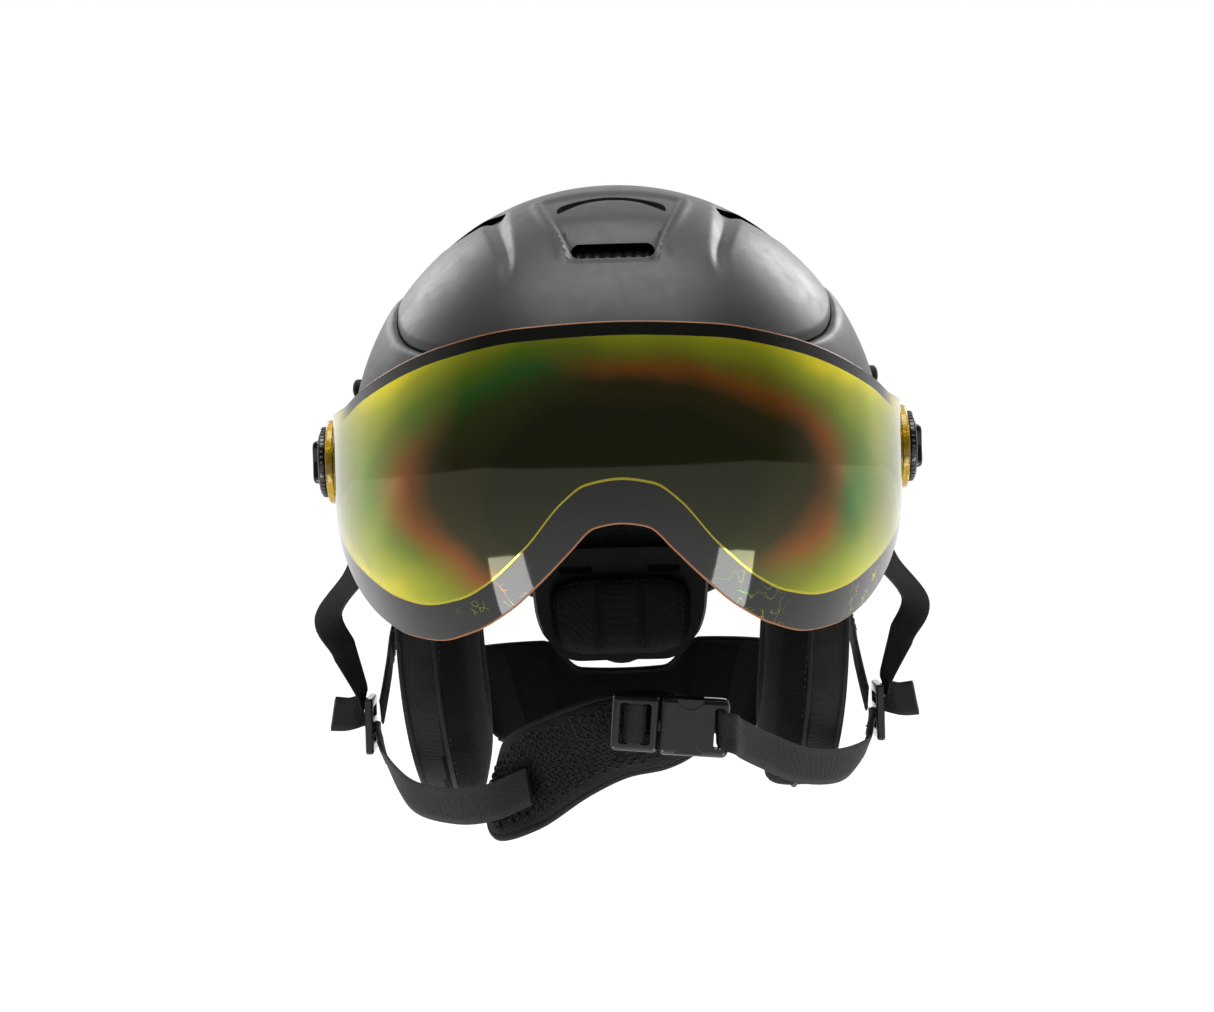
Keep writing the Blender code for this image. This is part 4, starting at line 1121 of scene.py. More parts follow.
@dataclass
class Lining:
    """The foam liner with its air channels, and the cloth pads inside it."""

    shop: Workshop
    outer_inset: float = 0.0031
    wall: float = 0.021
    rim_step: float = 0.0065
    pad_gap: float = 0.0004
    pad_thick: float = 0.0068

    def channel(self, bearing: float, height: float) -> float:
        """How far an air channel is sunk into the liner's inner face."""
        turn = (bearing + 180) % 360 - 180
        deep = 0.0
        for line in (0, 38, 142, 180):
            gap = min(abs(abs(turn) - line), 360)
            deep = max(deep, smoothstep(gap, 6.5, 3.0))
        return 0.006 * deep * smoothstep(height, 0.046, 0.058) * smoothstep(height, 0.091, 0.084)

    def liner(self) -> None:
        """The foam bowl, with the front duct and the dial's notch left open."""
        columns, rows = 144, 40
        outer, inner = [], []
        for k in range(columns):
            bearing = 360 * k / columns
            turn = signed(bearing)
            foot = along(DOME.rim, turn) + self.rim_step
            outer.append(DOME.column(bearing, foot, self.outer_inset, rows)[1:])
            line = DOME.column(bearing, foot, self.outer_inset + self.wall, rows)[1:]
            inner.append([p + p.normalized() * self.channel(bearing, p.z) for p in line])
        depth = self.outer_inset + self.wall
        crowns = (Vector((0, 0, DOME.crown - self.outer_inset)), Vector((0, 0, DOME.crown - depth)))
        liner = new_object("liner", bowl("liner", outer, inner, crowns), self.shop.palette["foam"])
        combine(liner, block("duct", (0.037, 0.13, 0.036), Matrix.Translation((0, -0.126, 0.0925)), 0.003))
        low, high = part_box("dial_housing")
        centre = (low + high) / 2
        room = (high.x - low.x) / 2 + 0.003
        facing = Matrix.Translation(centre) @ Matrix.Rotation(math.radians(-111), 4, "X")
        combine(liner, turned("notch", ((0, -0.008), (room, -0.008), (room, 0.03), (0, 0.03)), 40, facing))
        shade(liner, 35)
        self.shop.fit(liner, "helmet", "foam", "foam_liner")

    def cushion(self, name: str, node: str, bearings: tuple[float, float], heights: tuple[float, float],
                inset: float, seams: int = 0) -> None:
        """A crowned pad on the inside of the dome, with sewn channels and a stitched border.

        Args:
            name: The piece's name.
            node: The CAD node that it stands for.
            bearings: Where it starts and ends.
            heights: Its top and foot.
            inset: From the shell's outer face to the pad's back.
            seams: The number of sewn channels across it.
        """
        columns, rows = 48, 16
        middle_turn, half_turn = (bearings[0] + bearings[1]) / 2, (bearings[1] - bearings[0]) / 2
        middle, half = (heights[0] + heights[1]) / 2, (heights[0] - heights[1]) / 2
        back, front, border = [], [], []
        for i in range(columns + 1):
            u = -1 + 2 * i / columns
            column_back, column_front = [], []
            for j in range(rows + 1):
                v = 1 - 2 * j / rows
                pinch_u = 1 - 0.10 * abs(v) ** 4
                pinch_v = 1 - 0.22 * abs(u) ** 5
                bearing = middle_turn + half_turn * u * pinch_u
                height = middle + half * v * pinch_v
                crown = (1 - abs(u) ** 6) ** 0.5 * (1 - abs(v) ** 4) ** 0.5
                if seams:
                    phase = (u * 0.5 + 0.5) * (seams + 1)
                    nearest = abs(phase - round(phase))
                    if 0 < round(phase) < seams + 1:
                        crown *= 0.45 + 0.55 * smoothstep(nearest, 0.0, 0.16)
                thick = 0.0008 + (self.pad_thick - 0.0008) * crown
                column_back.append(DOME.point(bearing, height, inset))
                column_front.append(DOME.point(bearing, height, inset + thick))
            back.append(column_back)
            front.append(column_front)
        mesh = skin(name, back, front, sharp=70)
        pad = self.shop.add(name, mesh, "lining", "helmet", "fleece", node)
        near = 1
        border += [front[i][near] for i in range(1, columns)]
        border += [front[columns - 1][j] for j in range(near, rows)]
        border += [front[i][rows - near] for i in range(columns - 1, 0, -1)]
        border += [front[1][j] for j in range(rows - near, near, -1)]
        self.shop.trim(self.shop.stitches, f"{name}_stitches", polyline(name, border, True), "thread",
                       "helmet", "webbing", Pitch=0.0030, Length=0.0021, Thickness=0.00028)

    def crown_pad(self) -> None:
        """The round pad at the top."""
        inset = self.outer_inset + self.wall + self.pad_gap
        low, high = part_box("crown_pad")
        rings, columns = 14, 48
        half_x, half_y = (high.x - low.x) / 2, (high.y - low.y) / 2
        centre = (low + high) / 2
        back, front = [], []
        for i in range(columns):
            angle = 2 * math.pi * i / columns
            column_back, column_front = [], []
            for j in range(1, rings + 1):
                share = j / rings
                x = half_x * share * math.cos(angle)
                y = centre.y + half_y * share * math.sin(angle)
                reach = DOME.front if y < 0 else DOME.rear
                flat = 1 - (x / (DOME.half_width - inset)) ** 2 - (y / (reach - inset)) ** 2
                roof = (DOME.crown - inset) * math.sqrt(max(flat, 0.0))
                quilt = 1 - 0.4 * smoothstep(abs(share - 0.55), 0.09, 0.0)
                thick = 0.0008 + (self.pad_thick - 0.0008) * (1 - share**5) ** 0.5 * quilt
                column_back.append(Vector((x, y, roof)))
                column_front.append(Vector((x, y, roof - thick)))
            back.append(column_back)
            front.append(column_front)
        tops = [Vector((0, centre.y, DOME.crown - inset - deep)) for deep in (0.0, self.pad_thick)]
        mesh = bowl("crown_cushion", back, front, tops)
        pad = self.shop.add("crown_cushion", mesh, "lining", "helmet", "fleece", "crown_pad")

    def build(self) -> None:
        """Builds the liner and its pads."""
        inset = self.outer_inset + self.wall + self.pad_gap
        self.liner()
        self.cushion("brow_cushion", "brow_pad", (-49, 49), (0.0565, 0.0295), inset, 4)
        for side in Side:
            start, end = sorted((side.value * 62, side.value * 108))
            name = f"side_cushion_{side.word}"
            self.cushion(name, f"side_pad_{side.word}", (start, end), (0.0525, 0.0035), inset, 2)
        self.cushion("nape_cushion", "nape_pad", (155, 205), (-0.0590, -0.0950), 0.0335, 2)
        self.crown_pad()


# ------------------------------------------------------------------ visor


@dataclass
class Visor:
    """The lens with its printed border, its edge bead, the sealing foam and the pivots."""

    shop: Workshop
    patch: LensPatch = field(default_factory=LensPatch)
    top_border: float = 0.0048
    glow_width: float = 0.0009
    inner_line: Line = (
        (0, -0.0076), (5, -0.0096), (8.5, -0.0158), (14.5, -0.0325), (22, -0.0470), (27, -0.0522),
        (34, -0.0546), (41, -0.0523), (50, -0.0450), (60, -0.0365), (68, -0.0305), (74, -0.0275),
    )

    def bearings(self) -> list[float]:
        """Where the lens's columns stand, closer together at the nose."""
        last = 90 + math.degrees(math.atan(0.965 * self.patch.lug / self.patch.half_width))
        half = [0.75 * k for k in range(34)] + [25.5 + 1.25 * k for k in range(52)]
        half += [90.5 + (last - 90.5) * k / 9 for k in range(10)]
        return [-b for b in half[:0:-1]] + half

    def levels(self, bearing: float) -> list[float]:
        """The heights of one column, with close pairs of rows at both edges of the print."""
        top, foot = self.patch.edges(bearing)
        tall = top - foot
        upper = top - min(self.top_border, 0.2 * tall)
        lower = foot + 0.02 * tall
        if abs(bearing) < 74:
            lower = max(min(along(self.inner_line, bearing), upper - 0.2 * tall), lower)
        close = 0.00012
        levels = [top + (upper - top) * k / 3 for k in range(4)]
        levels.append(upper - close)
        lower_glow = min(lower + self.glow_width, upper - 2 * close)
        levels += [upper - close + (lower_glow - upper + close) * k / 26 for k in range(1, 27)]
        levels += [lower_glow - close, lower, lower - close]
        levels += [lower - close + (foot - lower + close) * k / 7 for k in range(1, 8)]
        return levels

    def lens(self) -> None:
        """The lens, whose border, glow line and scratches are stored on its points."""
        grids = []
        for inset in (0.0, self.patch.wall):
            rows = []
            for bearing in self.bearings():
                rows.append([self.patch.point(bearing, level, inset) for level in self.levels(bearing)])
            grids.append(rows)
        mesh = skin("lens", *grids, sharp=50)
        lens = new_object("lens", mesh, self.shop.palette["lens"])
        for side in Side:
            profile = ((0, 0), (0.0062, 0), (0.0062, 0.02), (0, 0.02))
            combine(lens, turned("hole", profile, 40, outwards(side, self.patch.half_width - 0.01)))
        self.store_print(lens.data)
        shade(lens, 50)
        self.shop.fit(lens, "visor", "lens", "visor_lens")

    def store_print(self, mesh: bpy.types.Mesh) -> None:
        """Marks the printed border, the glow along it and where it is scratched."""
        stored = {key: mesh.attributes.new(key, "FLOAT", "POINT") for key in ("border", "glow", "marks")}
        for k, vertex in enumerate(mesh.vertices):
            p = vertex.co
            bearing = math.degrees(math.atan2(p.x, -p.y))
            top, foot = self.patch.edges(bearing)
            side_fade = smoothstep(abs(bearing), 62, 52)
            inner = along(self.inner_line, bearing) if abs(bearing) < 74 else foot - 0.01
            upper = top - self.top_border
            printed = 1.0 if p.z > upper - 0.00006 and abs(bearing) < 60 else 0.0
            printed *= 1.0 if abs(bearing) < 48 else side_fade
            low_print = p.z < inner - 0.00006 and abs(bearing) < 74
            stored["border"].data[k].value = 1.0 if low_print else printed
            near = inner - 0.00003 <= p.z <= inner + self.glow_width - 0.00006 and abs(bearing) < 72
            stored["glow"].data[k].value = 0.75 if near else 0.0
            nose = smoothstep(abs(abs(bearing) - 18), 11, 5) * smoothstep(p.z, inner + 0.001, inner - 0.001)
            ticks = 0.6 * smoothstep(abs(bearing - 54), 12, 8) * smoothstep(p.z, inner, inner - 0.003)
            stored["marks"].data[k].value = max(nose, ticks)

    def edge_bead(self) -> None:
        """The polished copper-coloured edge that shows along the lens's outline."""
        wanted = [b for b in self.bearings() if abs(b) < 88]
        middle = self.patch.wall / 2
        for which, name in ((0, "lens_edge_top"), (1, "lens_edge_foot")):
            line = [self.patch.point(b, self.patch.edges(b)[which], middle) for b in wanted]
            self.shop.trim(self.shop.piping, name, polyline(name, line), "copper", "visor", "clear_yellow",
                           Radius=0.00065, Spacing=0.0020)

    def seal(self) -> None:
        """The rounded foam strip inside the lens's top edge."""
        gap = self.patch.wall + 0.0003
        columns = []
        for k in range(97):
            bearing = -49 + 98 * k / 96
            top = self.patch.edges(bearing)[0] - 0.0022
            taper = math.sqrt(max(1 - (abs(bearing) / 49.5) ** 14, 0.0))
            ring = []
            for j in range(14):
                angle = 2 * math.pi * j / 14
                deep = 0.0033 + 0.0033 * signed_power(math.cos(angle), 0.6)
                level = top - 0.0040 + 0.0040 * signed_power(math.sin(angle), 0.6) * taper
                ring.append(self.patch.point(bearing, level, gap + deep * taper))
            columns.append(ring)
        self.shop.add("top_seal", tube("top_seal", columns, 60), "rubber", "visor", "seal", "visor_seal")

    def pivot(self, side: Side) -> None:
        """One pivot: the base on the shell, the clear ring on the lens and the knob with its thumb grip."""
        ring_low, ring_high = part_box(f"pivot_ring_{side.word}")
        inner_x = min(abs(ring_low.x), abs(ring_high.x))
        tall = ring_high.x - ring_low.x
        radius = ring_high.z
        steps = [(0.0066, 0.0), (radius - 0.0004, 0.0), (radius, 0.0004), (radius, tall - 0.0012)]
        steps += rounded(radius, tall, 0.0012)
        steps += [(radius - 0.0026, tall), (radius - 0.0030, tall - 0.0009), (0.0066, tall - 0.0009)]
        name = f"ring_{side.word}"
        mesh = turned(name, steps, 72, outwards(side, inner_x))
        self.shop.add(name, mesh, "yellow", "visor", "clear_yellow", f"pivot_ring_{side.word}")
        base_low, base_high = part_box(f"pivot_base_{side.word}")
        start = min(abs(base_low.x), abs(base_high.x))
        deep = base_high.x - base_low.x
        wide = base_high.z
        base_steps = ((0, 0), (wide, 0), (wide, deep - 0.0008), (wide - 0.0003, deep - 0.0003),
                      (wide - 0.0009, deep), (0.0062, deep), (0.0062, 0.0008), (0, 0.0008))
        name = f"base_{side.word}"
        mesh = turned(name, base_steps, 64, outwards(side, start))
        self.shop.add(name, mesh, "nylon", "helmet", "gloss_black", f"pivot_base_{side.word}")
        self.knob(side, inner_x + tall + 0.0004)

    def knob(self, side: Side, disc_in: float) -> None:
        """The turning disc: a dished face, a notched rim and a grip pinched at its waist."""
        knob_low, knob_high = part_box(f"pivot_knob_{side.word}")
        radius = knob_high.z
        reach = max(abs(knob_low.x), abs(knob_high.x)) - disc_in
        root = min(abs(knob_low.x), abs(knob_high.x)) - disc_in
        disc = 0.0030
        profile = [(0, root), (0.0056, root), (0.0056, 0), (radius - 0.0005, 0), (radius, 0.0005),
                   (radius, disc - 0.0011)]
        profile += rounded(radius, disc, 0.0011)
        dish = disc - 0.0006
        profile += [(radius - 0.0026, disc), (radius - 0.0034, dish), (0.0050, dish), (0, disc)]
        name = f"knob_{side.word}"
        mesh = turned(name, profile, 80, outwards(side, disc_in))
        knob = new_object(name, mesh, self.shop.palette["gloss"])
        rim = []
        for k in range(48):
            angle = 2 * math.pi * k / 48
            along_grip = 0.0094 * math.cos(angle)
            waist = 0.0021 + 0.0026 * abs(math.cos(angle)) ** 1.6
            rim.append(Vector((0, waist * signed_power(math.sin(angle), 0.7), along_grip)))
        rings = []
        for level, share in ((-0.0012, 1.0), (0.35, 1.0), (0.72, 0.95), (0.92, 0.84), (1.0, 0.66)):
            height = disc + (reach - disc) * level if level > 0 else disc - 0.0012
            x = side.value * (disc_in + height)
            rings.append([(x, p.y * share, p.z * (0.4 + 0.6 * share)) for p in rim])
        combine(knob, tube("grip", rings), "UNION")
        knob.data.shade_smooth()
        even_normals(knob, 40)
        self.shop.fit(knob, name, "gloss_black", f"pivot_knob_{side.word}")
        spots, ways = [], []
        for k in range(40):
            angle = 2 * math.pi * k / 40
            x = side.value * (disc_in + 0.0013)
            spots.append(Vector((x, radius * math.cos(angle), radius * math.sin(angle))))
            ways.append(Vector((1, 0, 0)))
        self.shop.trim(self.shop.ribs, f"{name}_ribs", headed_points("ribs", spots, ways), "gloss",
                       name, "gloss_black", Width=0.0008, Height=0.0008, Length=0.0020)

    def build(self) -> None:
        """Builds the visor."""
        self.lens()
        self.edge_bead()
        self.seal()
        for side in Side:
            self.pivot(side)


# ------------------------------------------------------------------ fit system


@dataclass
class FitSystem:
    """The cradle at the nape, its two arms and the dial that tightens them."""

    shop: Workshop
    ribs: int = 36

    def build(self) -> None:
        """Dresses the cradle and its arms, and builds the ribbed dial."""
        for node in ("fit_arm_left", "fit_arm_right"):
            self.shop.dress(node, "nylon")
        self.cradle()
        self.shop.dress("dial_housing", "nylon")
        place = self.axis_frame()
        radius, tall = 0.0135, 0.009
        profile = [(0, 0.0019), (0.0044, 0.0019), (0.0044, 0), (radius - 0.0010, 0)]
        profile += [(radius - 0.0006, 0.0004), (radius - 0.0006, tall - 0.0018)]
        profile += rounded(radius - 0.0006, tall, 0.0018)
        profile += [(0.0080, tall), (0.0072, tall - 0.0008), (0.0020, tall - 0.0012), (0, tall - 0.0012)]
        mesh = turned("dial", profile, 72, place)
        self.shop.add("dial", mesh, "grey_nylon", "dial", "grey_nylon", "fit_dial")
        spots, ways = [], []
        turn = place.to_3x3()
        for k in range(self.ribs):
            angle = 2 * math.pi * k / self.ribs
            reach = radius - 0.0006
            spots.append(place @ Vector((reach * math.cos(angle), reach * math.sin(angle), tall * 0.46)))
            ways.append(turn @ Vector((0, 0, 1)))
        self.shop.trim(self.shop.ribs, "dial_ribs", headed_points("dial_ribs", spots, ways), "grey_nylon",
                       "dial", "grey_nylon", Width=0.0012, Height=0.0012, Length=0.0072)

    def cradle(self) -> None:
        """The nape plate, with round corners and flexing slots."""
        low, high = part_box("fit_cradle")
        wall, inset = 0.0025, 0.030
        half_turn = math.degrees(math.asin(min(high.x / (DOME.half_width - inset), 1.0))) * 0.995
        middle, half = (low.z + high.z) / 2, (high.z - low.z) / 2
        outer, inner = [], []
        for i in range(61):
            u = -1 + i / 30
            lines = []
            for depth in (inset, inset + wall):
                column = []
                for j in range(25):
                    v = 1 - j / 12
                    level = middle + half * v * (1 - 0.30 * abs(u) ** 9)
                    turn = half_turn * u * (1 - 0.12 * max(-v, 0.0) ** 2 - 0.10 * abs(v) ** 7)
                    column.append((180 + turn, level, depth))
                lines.append(column)
            outer.append(lines[0])
            inner.append(lines[1])
        scale = high.x / max(abs(DOME.point(*spot).x) for column in outer for spot in column)
        shrink = Matrix.Diagonal((scale, 1, 1))
        grids = []
        for grid in (outer, inner):
            grids.append([[shrink @ DOME.point(*spot) for spot in column] for column in grid])
        plate = new_object("cradle", skin("cradle", *grids), self.shop.palette["nylon"])
        for x in (-0.021, 0.021):
            for z in (-0.056, -0.088):
                spot = Matrix.Translation((x, 0.105, z))
                combine(plate, block("slot", (0.016, 0.06, 0.0035), spot, 0.0016, 3))
        shade(plate, 35)
        self.shop.fit(plate, "helmet", "matte_nylon", "fit_cradle")

    def axis_frame(self) -> Matrix:
        """The dial's seat: its centre and its own Z along the joint's axis."""
        joint = next(j for j in frame["joints"] if j["name"] == "dial_turn")
        turn = Vector((0, 0, 1)).rotation_difference(Vector(joint["axis"])).to_matrix().to_4x4()
        return Matrix.Translation(joint["pos_m"]) @ turn


# ------------------------------------------------------------------ soft sides


@dataclass
class EarPads:
    """The ear pads with their fleece face, ribbed side cloth and piping, and the roll that joins them."""

    shop: Workshop
    out: float = 0.0975
    thick: float = 0.031
    half_depth: float = 0.040
    shift: float = 0.012

    def surface(self, side: Side, around: float, through: float) -> Vector:
        """A point of the pad: around its outline from 0 to 1, and through it from outside -1 to inside 1."""
        low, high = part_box(f"ear_pad_{side.word}")
        centre_z, half_z = (low.z + high.z) / 2, (high.z - low.z) / 2
        angle = 2 * math.pi * around
        v, u = signed_power(math.cos(angle), 0.72), signed_power(math.sin(angle), 0.80)
        lean = 0.008 * (0.5 - 0.5 * u) ** 2
        middle = self.out - self.thick / 2 - lean
        round_off = (1 - abs(through) ** 3.4) ** 0.42
        size = 0.74 + 0.26 * round_off
        narrow = (1 - 0.30 * max(-u, 0.0) ** 2) * size
        y = self.shift + v * self.half_depth * narrow
        z = centre_z + u * half_z * (0.86 + 0.14 * round_off)
        puff = 1.0 - 0.10 * abs(u) ** 3
        return Vector((side.value * (middle - through * self.thick / 2 * puff), y, z))

    def pad(self, side: Side) -> None:
        """One pad: two crowned faces and the puffed side band between them."""
        palette = self.shop.palette
        turns, layers, rings = 96, 18, 9
        shape = bmesh.new()
        band = []
        for i in range(turns):
            column = [self.surface(side, i / turns, -0.94 + 1.88 * j / layers) for j in range(layers + 1)]
            band.append([shape.verts.new(p) for p in column])
        for i in range(turns):
            left, right = band[i], band[(i + 1) % turns]
            for j in range(layers):
                shape.faces.new((left[j], left[j + 1], right[j + 1], right[j]))
        for end, dish in ((0, -0.0022), (layers, 0.0050)):
            edge = [column[end] for column in band]
            centre = sum((v.co for v in edge), Vector()) / turns
            rows = [edge]
            for r in range(1, rings):
                share = 1 - r / rings
                sunk = dish * math.sin(math.pi * share) * (1.0 if end == 0 else -1.0)
                sunk += (0.0036 if end else 0.0) * smoothstep(share, 0.55, 0.2)
                row = []
                for v in edge:
                    p = centre + (v.co - centre) * share
                    row.append(shape.verts.new((p.x + side.value * sunk, p.y, p.z)))
                rows.append(row)
            for near, far in zip(rows, rows[1:]):
                for i in range(turns):
                    after = (i + 1) % turns
                    shape.faces.new((near[i], near[after], far[after], far[i]))
            shape.faces.new(rows[-1])
        name = f"ear_cushion_{side.word}"
        for vertex in shape.verts:
            p = vertex.co
            fold = noise.noise(Vector((p.x * 60, p.y * 45, p.z * 90))) + 0.5 * noise.noise(p * 190)
            vertex.co = p + Vector((0, p.y - self.shift, p.z + 0.092)).normalized() * fold * 0.0007
        mesh = finished(name, shape, 80)
        pad = new_object(name, mesh, palette["fleece"])
        pad.data.materials.append(palette["ribbed"])
        outer_limit = self.out - 0.40 * self.thick
        for face in pad.data.polygons:
            face.material_index = 1 if abs(face.center.x) > outer_limit - 0.0075 else 0
        self.shop.fit(pad, "helmet", "fleece", f"ear_pad_{side.word}")
        for k, (through, radius) in enumerate(((-0.86, 0.0013), (0.10, 0.0011))):
            line = [self.surface(side, i / 120, through) for i in range(120)]
            centre = sum(line, Vector()) / len(line)
            line = [p + (p - centre).normalized() * 0.0003 for p in line]
            self.shop.trim(self.shop.piping, f"{name}_piping_{k}", polyline("piping", line, True), "webbing",
                           "helmet", "fleece", Radius=radius, Spacing=0.0020)
            inwards = Vector((side.value * -0.0019, 0, 0))
            inside = [p + (centre - p).normalized() * 0.0006 + inwards for p in line]
            seam = polyline("seam", inside, True)
            self.shop.trim(self.shop.stitches, f"{name}_stitches_{k}", seam, "thread", "helmet", "webbing",
                           Pitch=0.0032, Length=0.0022, Thickness=0.0003)

    def neck_roll(self) -> None:
        """The padded band round the nape, quilted and puffed between its seams."""
        top_line: Line = ((0, -0.104), (13, -0.103), (24, -0.090), (60, -0.089))
        foot, inset, thick = -0.130, 0.006, 0.014
        columns = []
        count, around = 120, 20
        for k in range(count + 1):
            away = -58 + 116 * k / count
            top = along(top_line, away)
            middle, half = (top + foot) / 2, (top - foot) / 2
            quilt = 0.72 + 0.28 * abs(math.sin(math.pi * (away + 58) / 116 * 7)) ** 0.35
            taper = math.sqrt(max(1 - (abs(away) / 58.6) ** 20, 0.0))
            ring = []
            for j in range(around):
                angle = 2 * math.pi * j / around
                deep = inset + thick / 2 - thick / 2 * signed_power(math.cos(angle), 0.62) * quilt * taper
                level = middle + half * signed_power(math.sin(angle), 0.62) * (0.6 + 0.4 * taper)
                ring.append(DOME.point(180 + away, level, deep))
            columns.append(ring)
        mesh = tube("neck_cushion", columns, 80)
        roll = self.shop.add("neck_cushion", mesh, "fleece", "helmet", "fleece", "neck_roll")
        for j, name in ((around // 4, "top"), (3 * around // 4, "foot")):
            line = [ring[j] for ring in columns[2:-2]]
            self.shop.trim(self.shop.piping, f"neck_piping_{name}", polyline("neck", line), "webbing",
                           "helmet", "fleece", Radius=0.0012, Spacing=0.0022)

    def snaps(self) -> None:
        """Gives the snap studs their polished acetal and the strap anchors their nylon."""
        for side in Side:
            for where in ("front", "rear"):
                self.shop.dress(f"pad_snap_{where}_{side.word}", "gloss")
                self.shop.dress(f"strap_anchor_{where}_{side.word}", "nylon")

    def build(self) -> None:
        """Builds the soft sides."""
        for side in Side:
            self.pad(side)
        self.neck_roll()
        self.snaps()


# ------------------------------------------------------------------ straps


@dataclass(frozen=True)
class StrapRun:
    """One length of webbing: where it goes, and how its width is turned at each point."""

    name: str
    body: str
    node: str
    path: Sequence[tuple[float, float, float]]
    across: Sequence[tuple[float, float, float]]


@dataclass
class Webbing:
    """The straps, each woven with cross ribs and a thick selvedge; the rear and chin straps also get stitches
    sewn across a stretch of them.
    """

    shop: Workshop
    width: float = 0.015
    wall: float = 0.0016
    rib_pitch: float = 0.0011
    anchors: tuple[float, float] = (64, 122)

    def start(self, bearing: float) -> Vector:
        """Where webbing comes out between the shell and the liner."""
        return DOME.point(bearing, along(DOME.rim, bearing) - 0.0066, 0.0047)

    def frames(self, run: StrapRun, spacing: float) -> list[tuple[Vector, Vector, Vector]]:
        """Points along a run at even spacing, with the width direction and the outward one."""
        path = smooth_path([Vector(p) for p in run.path], 40)
        turns = smooth_path([Vector(a).normalized() for a in run.across], 40)
        lengths = [0.0]
        for a, b in zip(path, path[1:]):
            lengths.append(lengths[-1] + (b - a).length)
        count = max(round(lengths[-1] / spacing), 2)
        found, k = [], 0
        for i in range(count + 1):
            goal = lengths[-1] * i / count
            while k < len(path) - 2 and lengths[k + 1] < goal:
                k += 1
            t = (goal - lengths[k]) / max(lengths[k + 1] - lengths[k], 1e-9)
            centre = path[k].lerp(path[k + 1], t)
            heading = (path[k + 1] - path[k]).normalized()
            turn = turns[k].lerp(turns[k + 1], t)
            across = (turn - heading * turn.dot(heading)).normalized()
            found.append((centre, across, heading.cross(across)))
        return found

    def weave(self, run: StrapRun) -> None:
        """Makes one strap."""
        rings = []
        for i, (centre, across, out) in enumerate(self.frames(run, self.rib_pitch / 2)):
            rib = 0.82 + 0.18 * (i % 2)
            ring = []
            for face in (1, -1):
                for j in range(9):
                    v = face * (-1 + 2 * j / 8)
                    edge = 1.0 if 0.70 < abs(v) < 0.98 else rib
                    thin = 0.30 if abs(v) > 0.98 else edge
                    ring.append(centre + across * v * self.width / 2 + out * face * thin * self.wall / 2)
            rings.append(ring)
        self.shop.add(run.name, tube(run.name, rings, 60), "webbing", run.body, "webbing", run.node)

    def bar_tack(self, run: StrapRun, first: int, last: int) -> None:
        """Rows of stitches across a stretch of strap, as where it is sewn down."""
        frames = self.frames(run, 0.002)[first:last]
        line = []
        for k, (centre, across, out) in enumerate(frames):
            ends = (-0.4, 0.4) if k % 2 == 0 else (0.4, -0.4)
            for v in ends:
                line.append(centre + across * v * self.width + out * (self.wall / 2 + 0.0001))
        self.shop.trim(self.shop.stitches, f"{run.name}_tack", polyline("tack", line), "thread",
                       run.body, "webbing", Pitch=0.0017, Length=0.0015, Thickness=0.0003)

    def side_runs(self, side: Side) -> list[StrapRun]:
        """The front and rear straps and the tail on one side."""
        s = side.value
        front_bearing, rear_bearing = s * self.anchors[0], s * self.anchors[1]
        level = self.start(front_bearing - 2 * s) - self.start(front_bearing + 2 * s)
        sloping = self.start(rear_bearing + 2 * s) - self.start(rear_bearing - 2 * s)
        front = (
            tuple(self.start(front_bearing)), (s * 0.1035, -0.047, -0.030), (s * 0.1100, -0.036, -0.046),
            (s * 0.1235, -0.023, -0.064), (s * 0.1185, -0.014, -0.080), (s * 0.1125, -0.007, -0.0975),
            (s * 0.1116, -0.004, -0.1035), (s * 0.1092, -0.004, -0.1062), (s * 0.1078, -0.004, -0.1078),
        )
        rear = (
            tuple(self.start(rear_bearing)), (s * 0.0975, 0.061, -0.064), (s * 0.1025, 0.044, -0.080),
            (s * 0.1035, 0.027, -0.0925), (s * 0.1042, 0.014, -0.1010), (s * 0.1050, 0.003, -0.1085),
        )
        tail = ((s * 0.1118, -0.007, -0.1065), (s * 0.1180, -0.010, -0.1078), (s * 0.1240, -0.014, -0.1070))
        forward = (tuple(level), (s * 0.30, -0.9, 0.3), (s * 0.50, -0.85, 0.2), (s * 0.60, -0.8, 0.1),
                   (s * 0.55, -0.8, 0.2), (s * 0.25, -0.95, 0), (0, -1, 0), (0, -1, 0), (0, -1, 0))
        slanted = (tuple(sloping), (0, 0.5, -0.85), (0, 0.5, -0.85), (0, 0.55, -0.83), (0, 0.58, -0.81),
                   (0, 0.55, -0.83))
        facing = ((0, -0.35, 1), (0, -0.30, 1), (s * 0.1, -0.25, 1))
        word = side.word
        return [
            StrapRun(f"strap_front_{word}", "helmet", f"front_strap_{word}", front, forward),
            StrapRun(f"strap_rear_{word}", "helmet", f"rear_strap_{word}", rear, slanted),
            StrapRun(f"tail_{word}", f"slider_{word}", f"strap_tail_{word}", tail, facing),
        ]

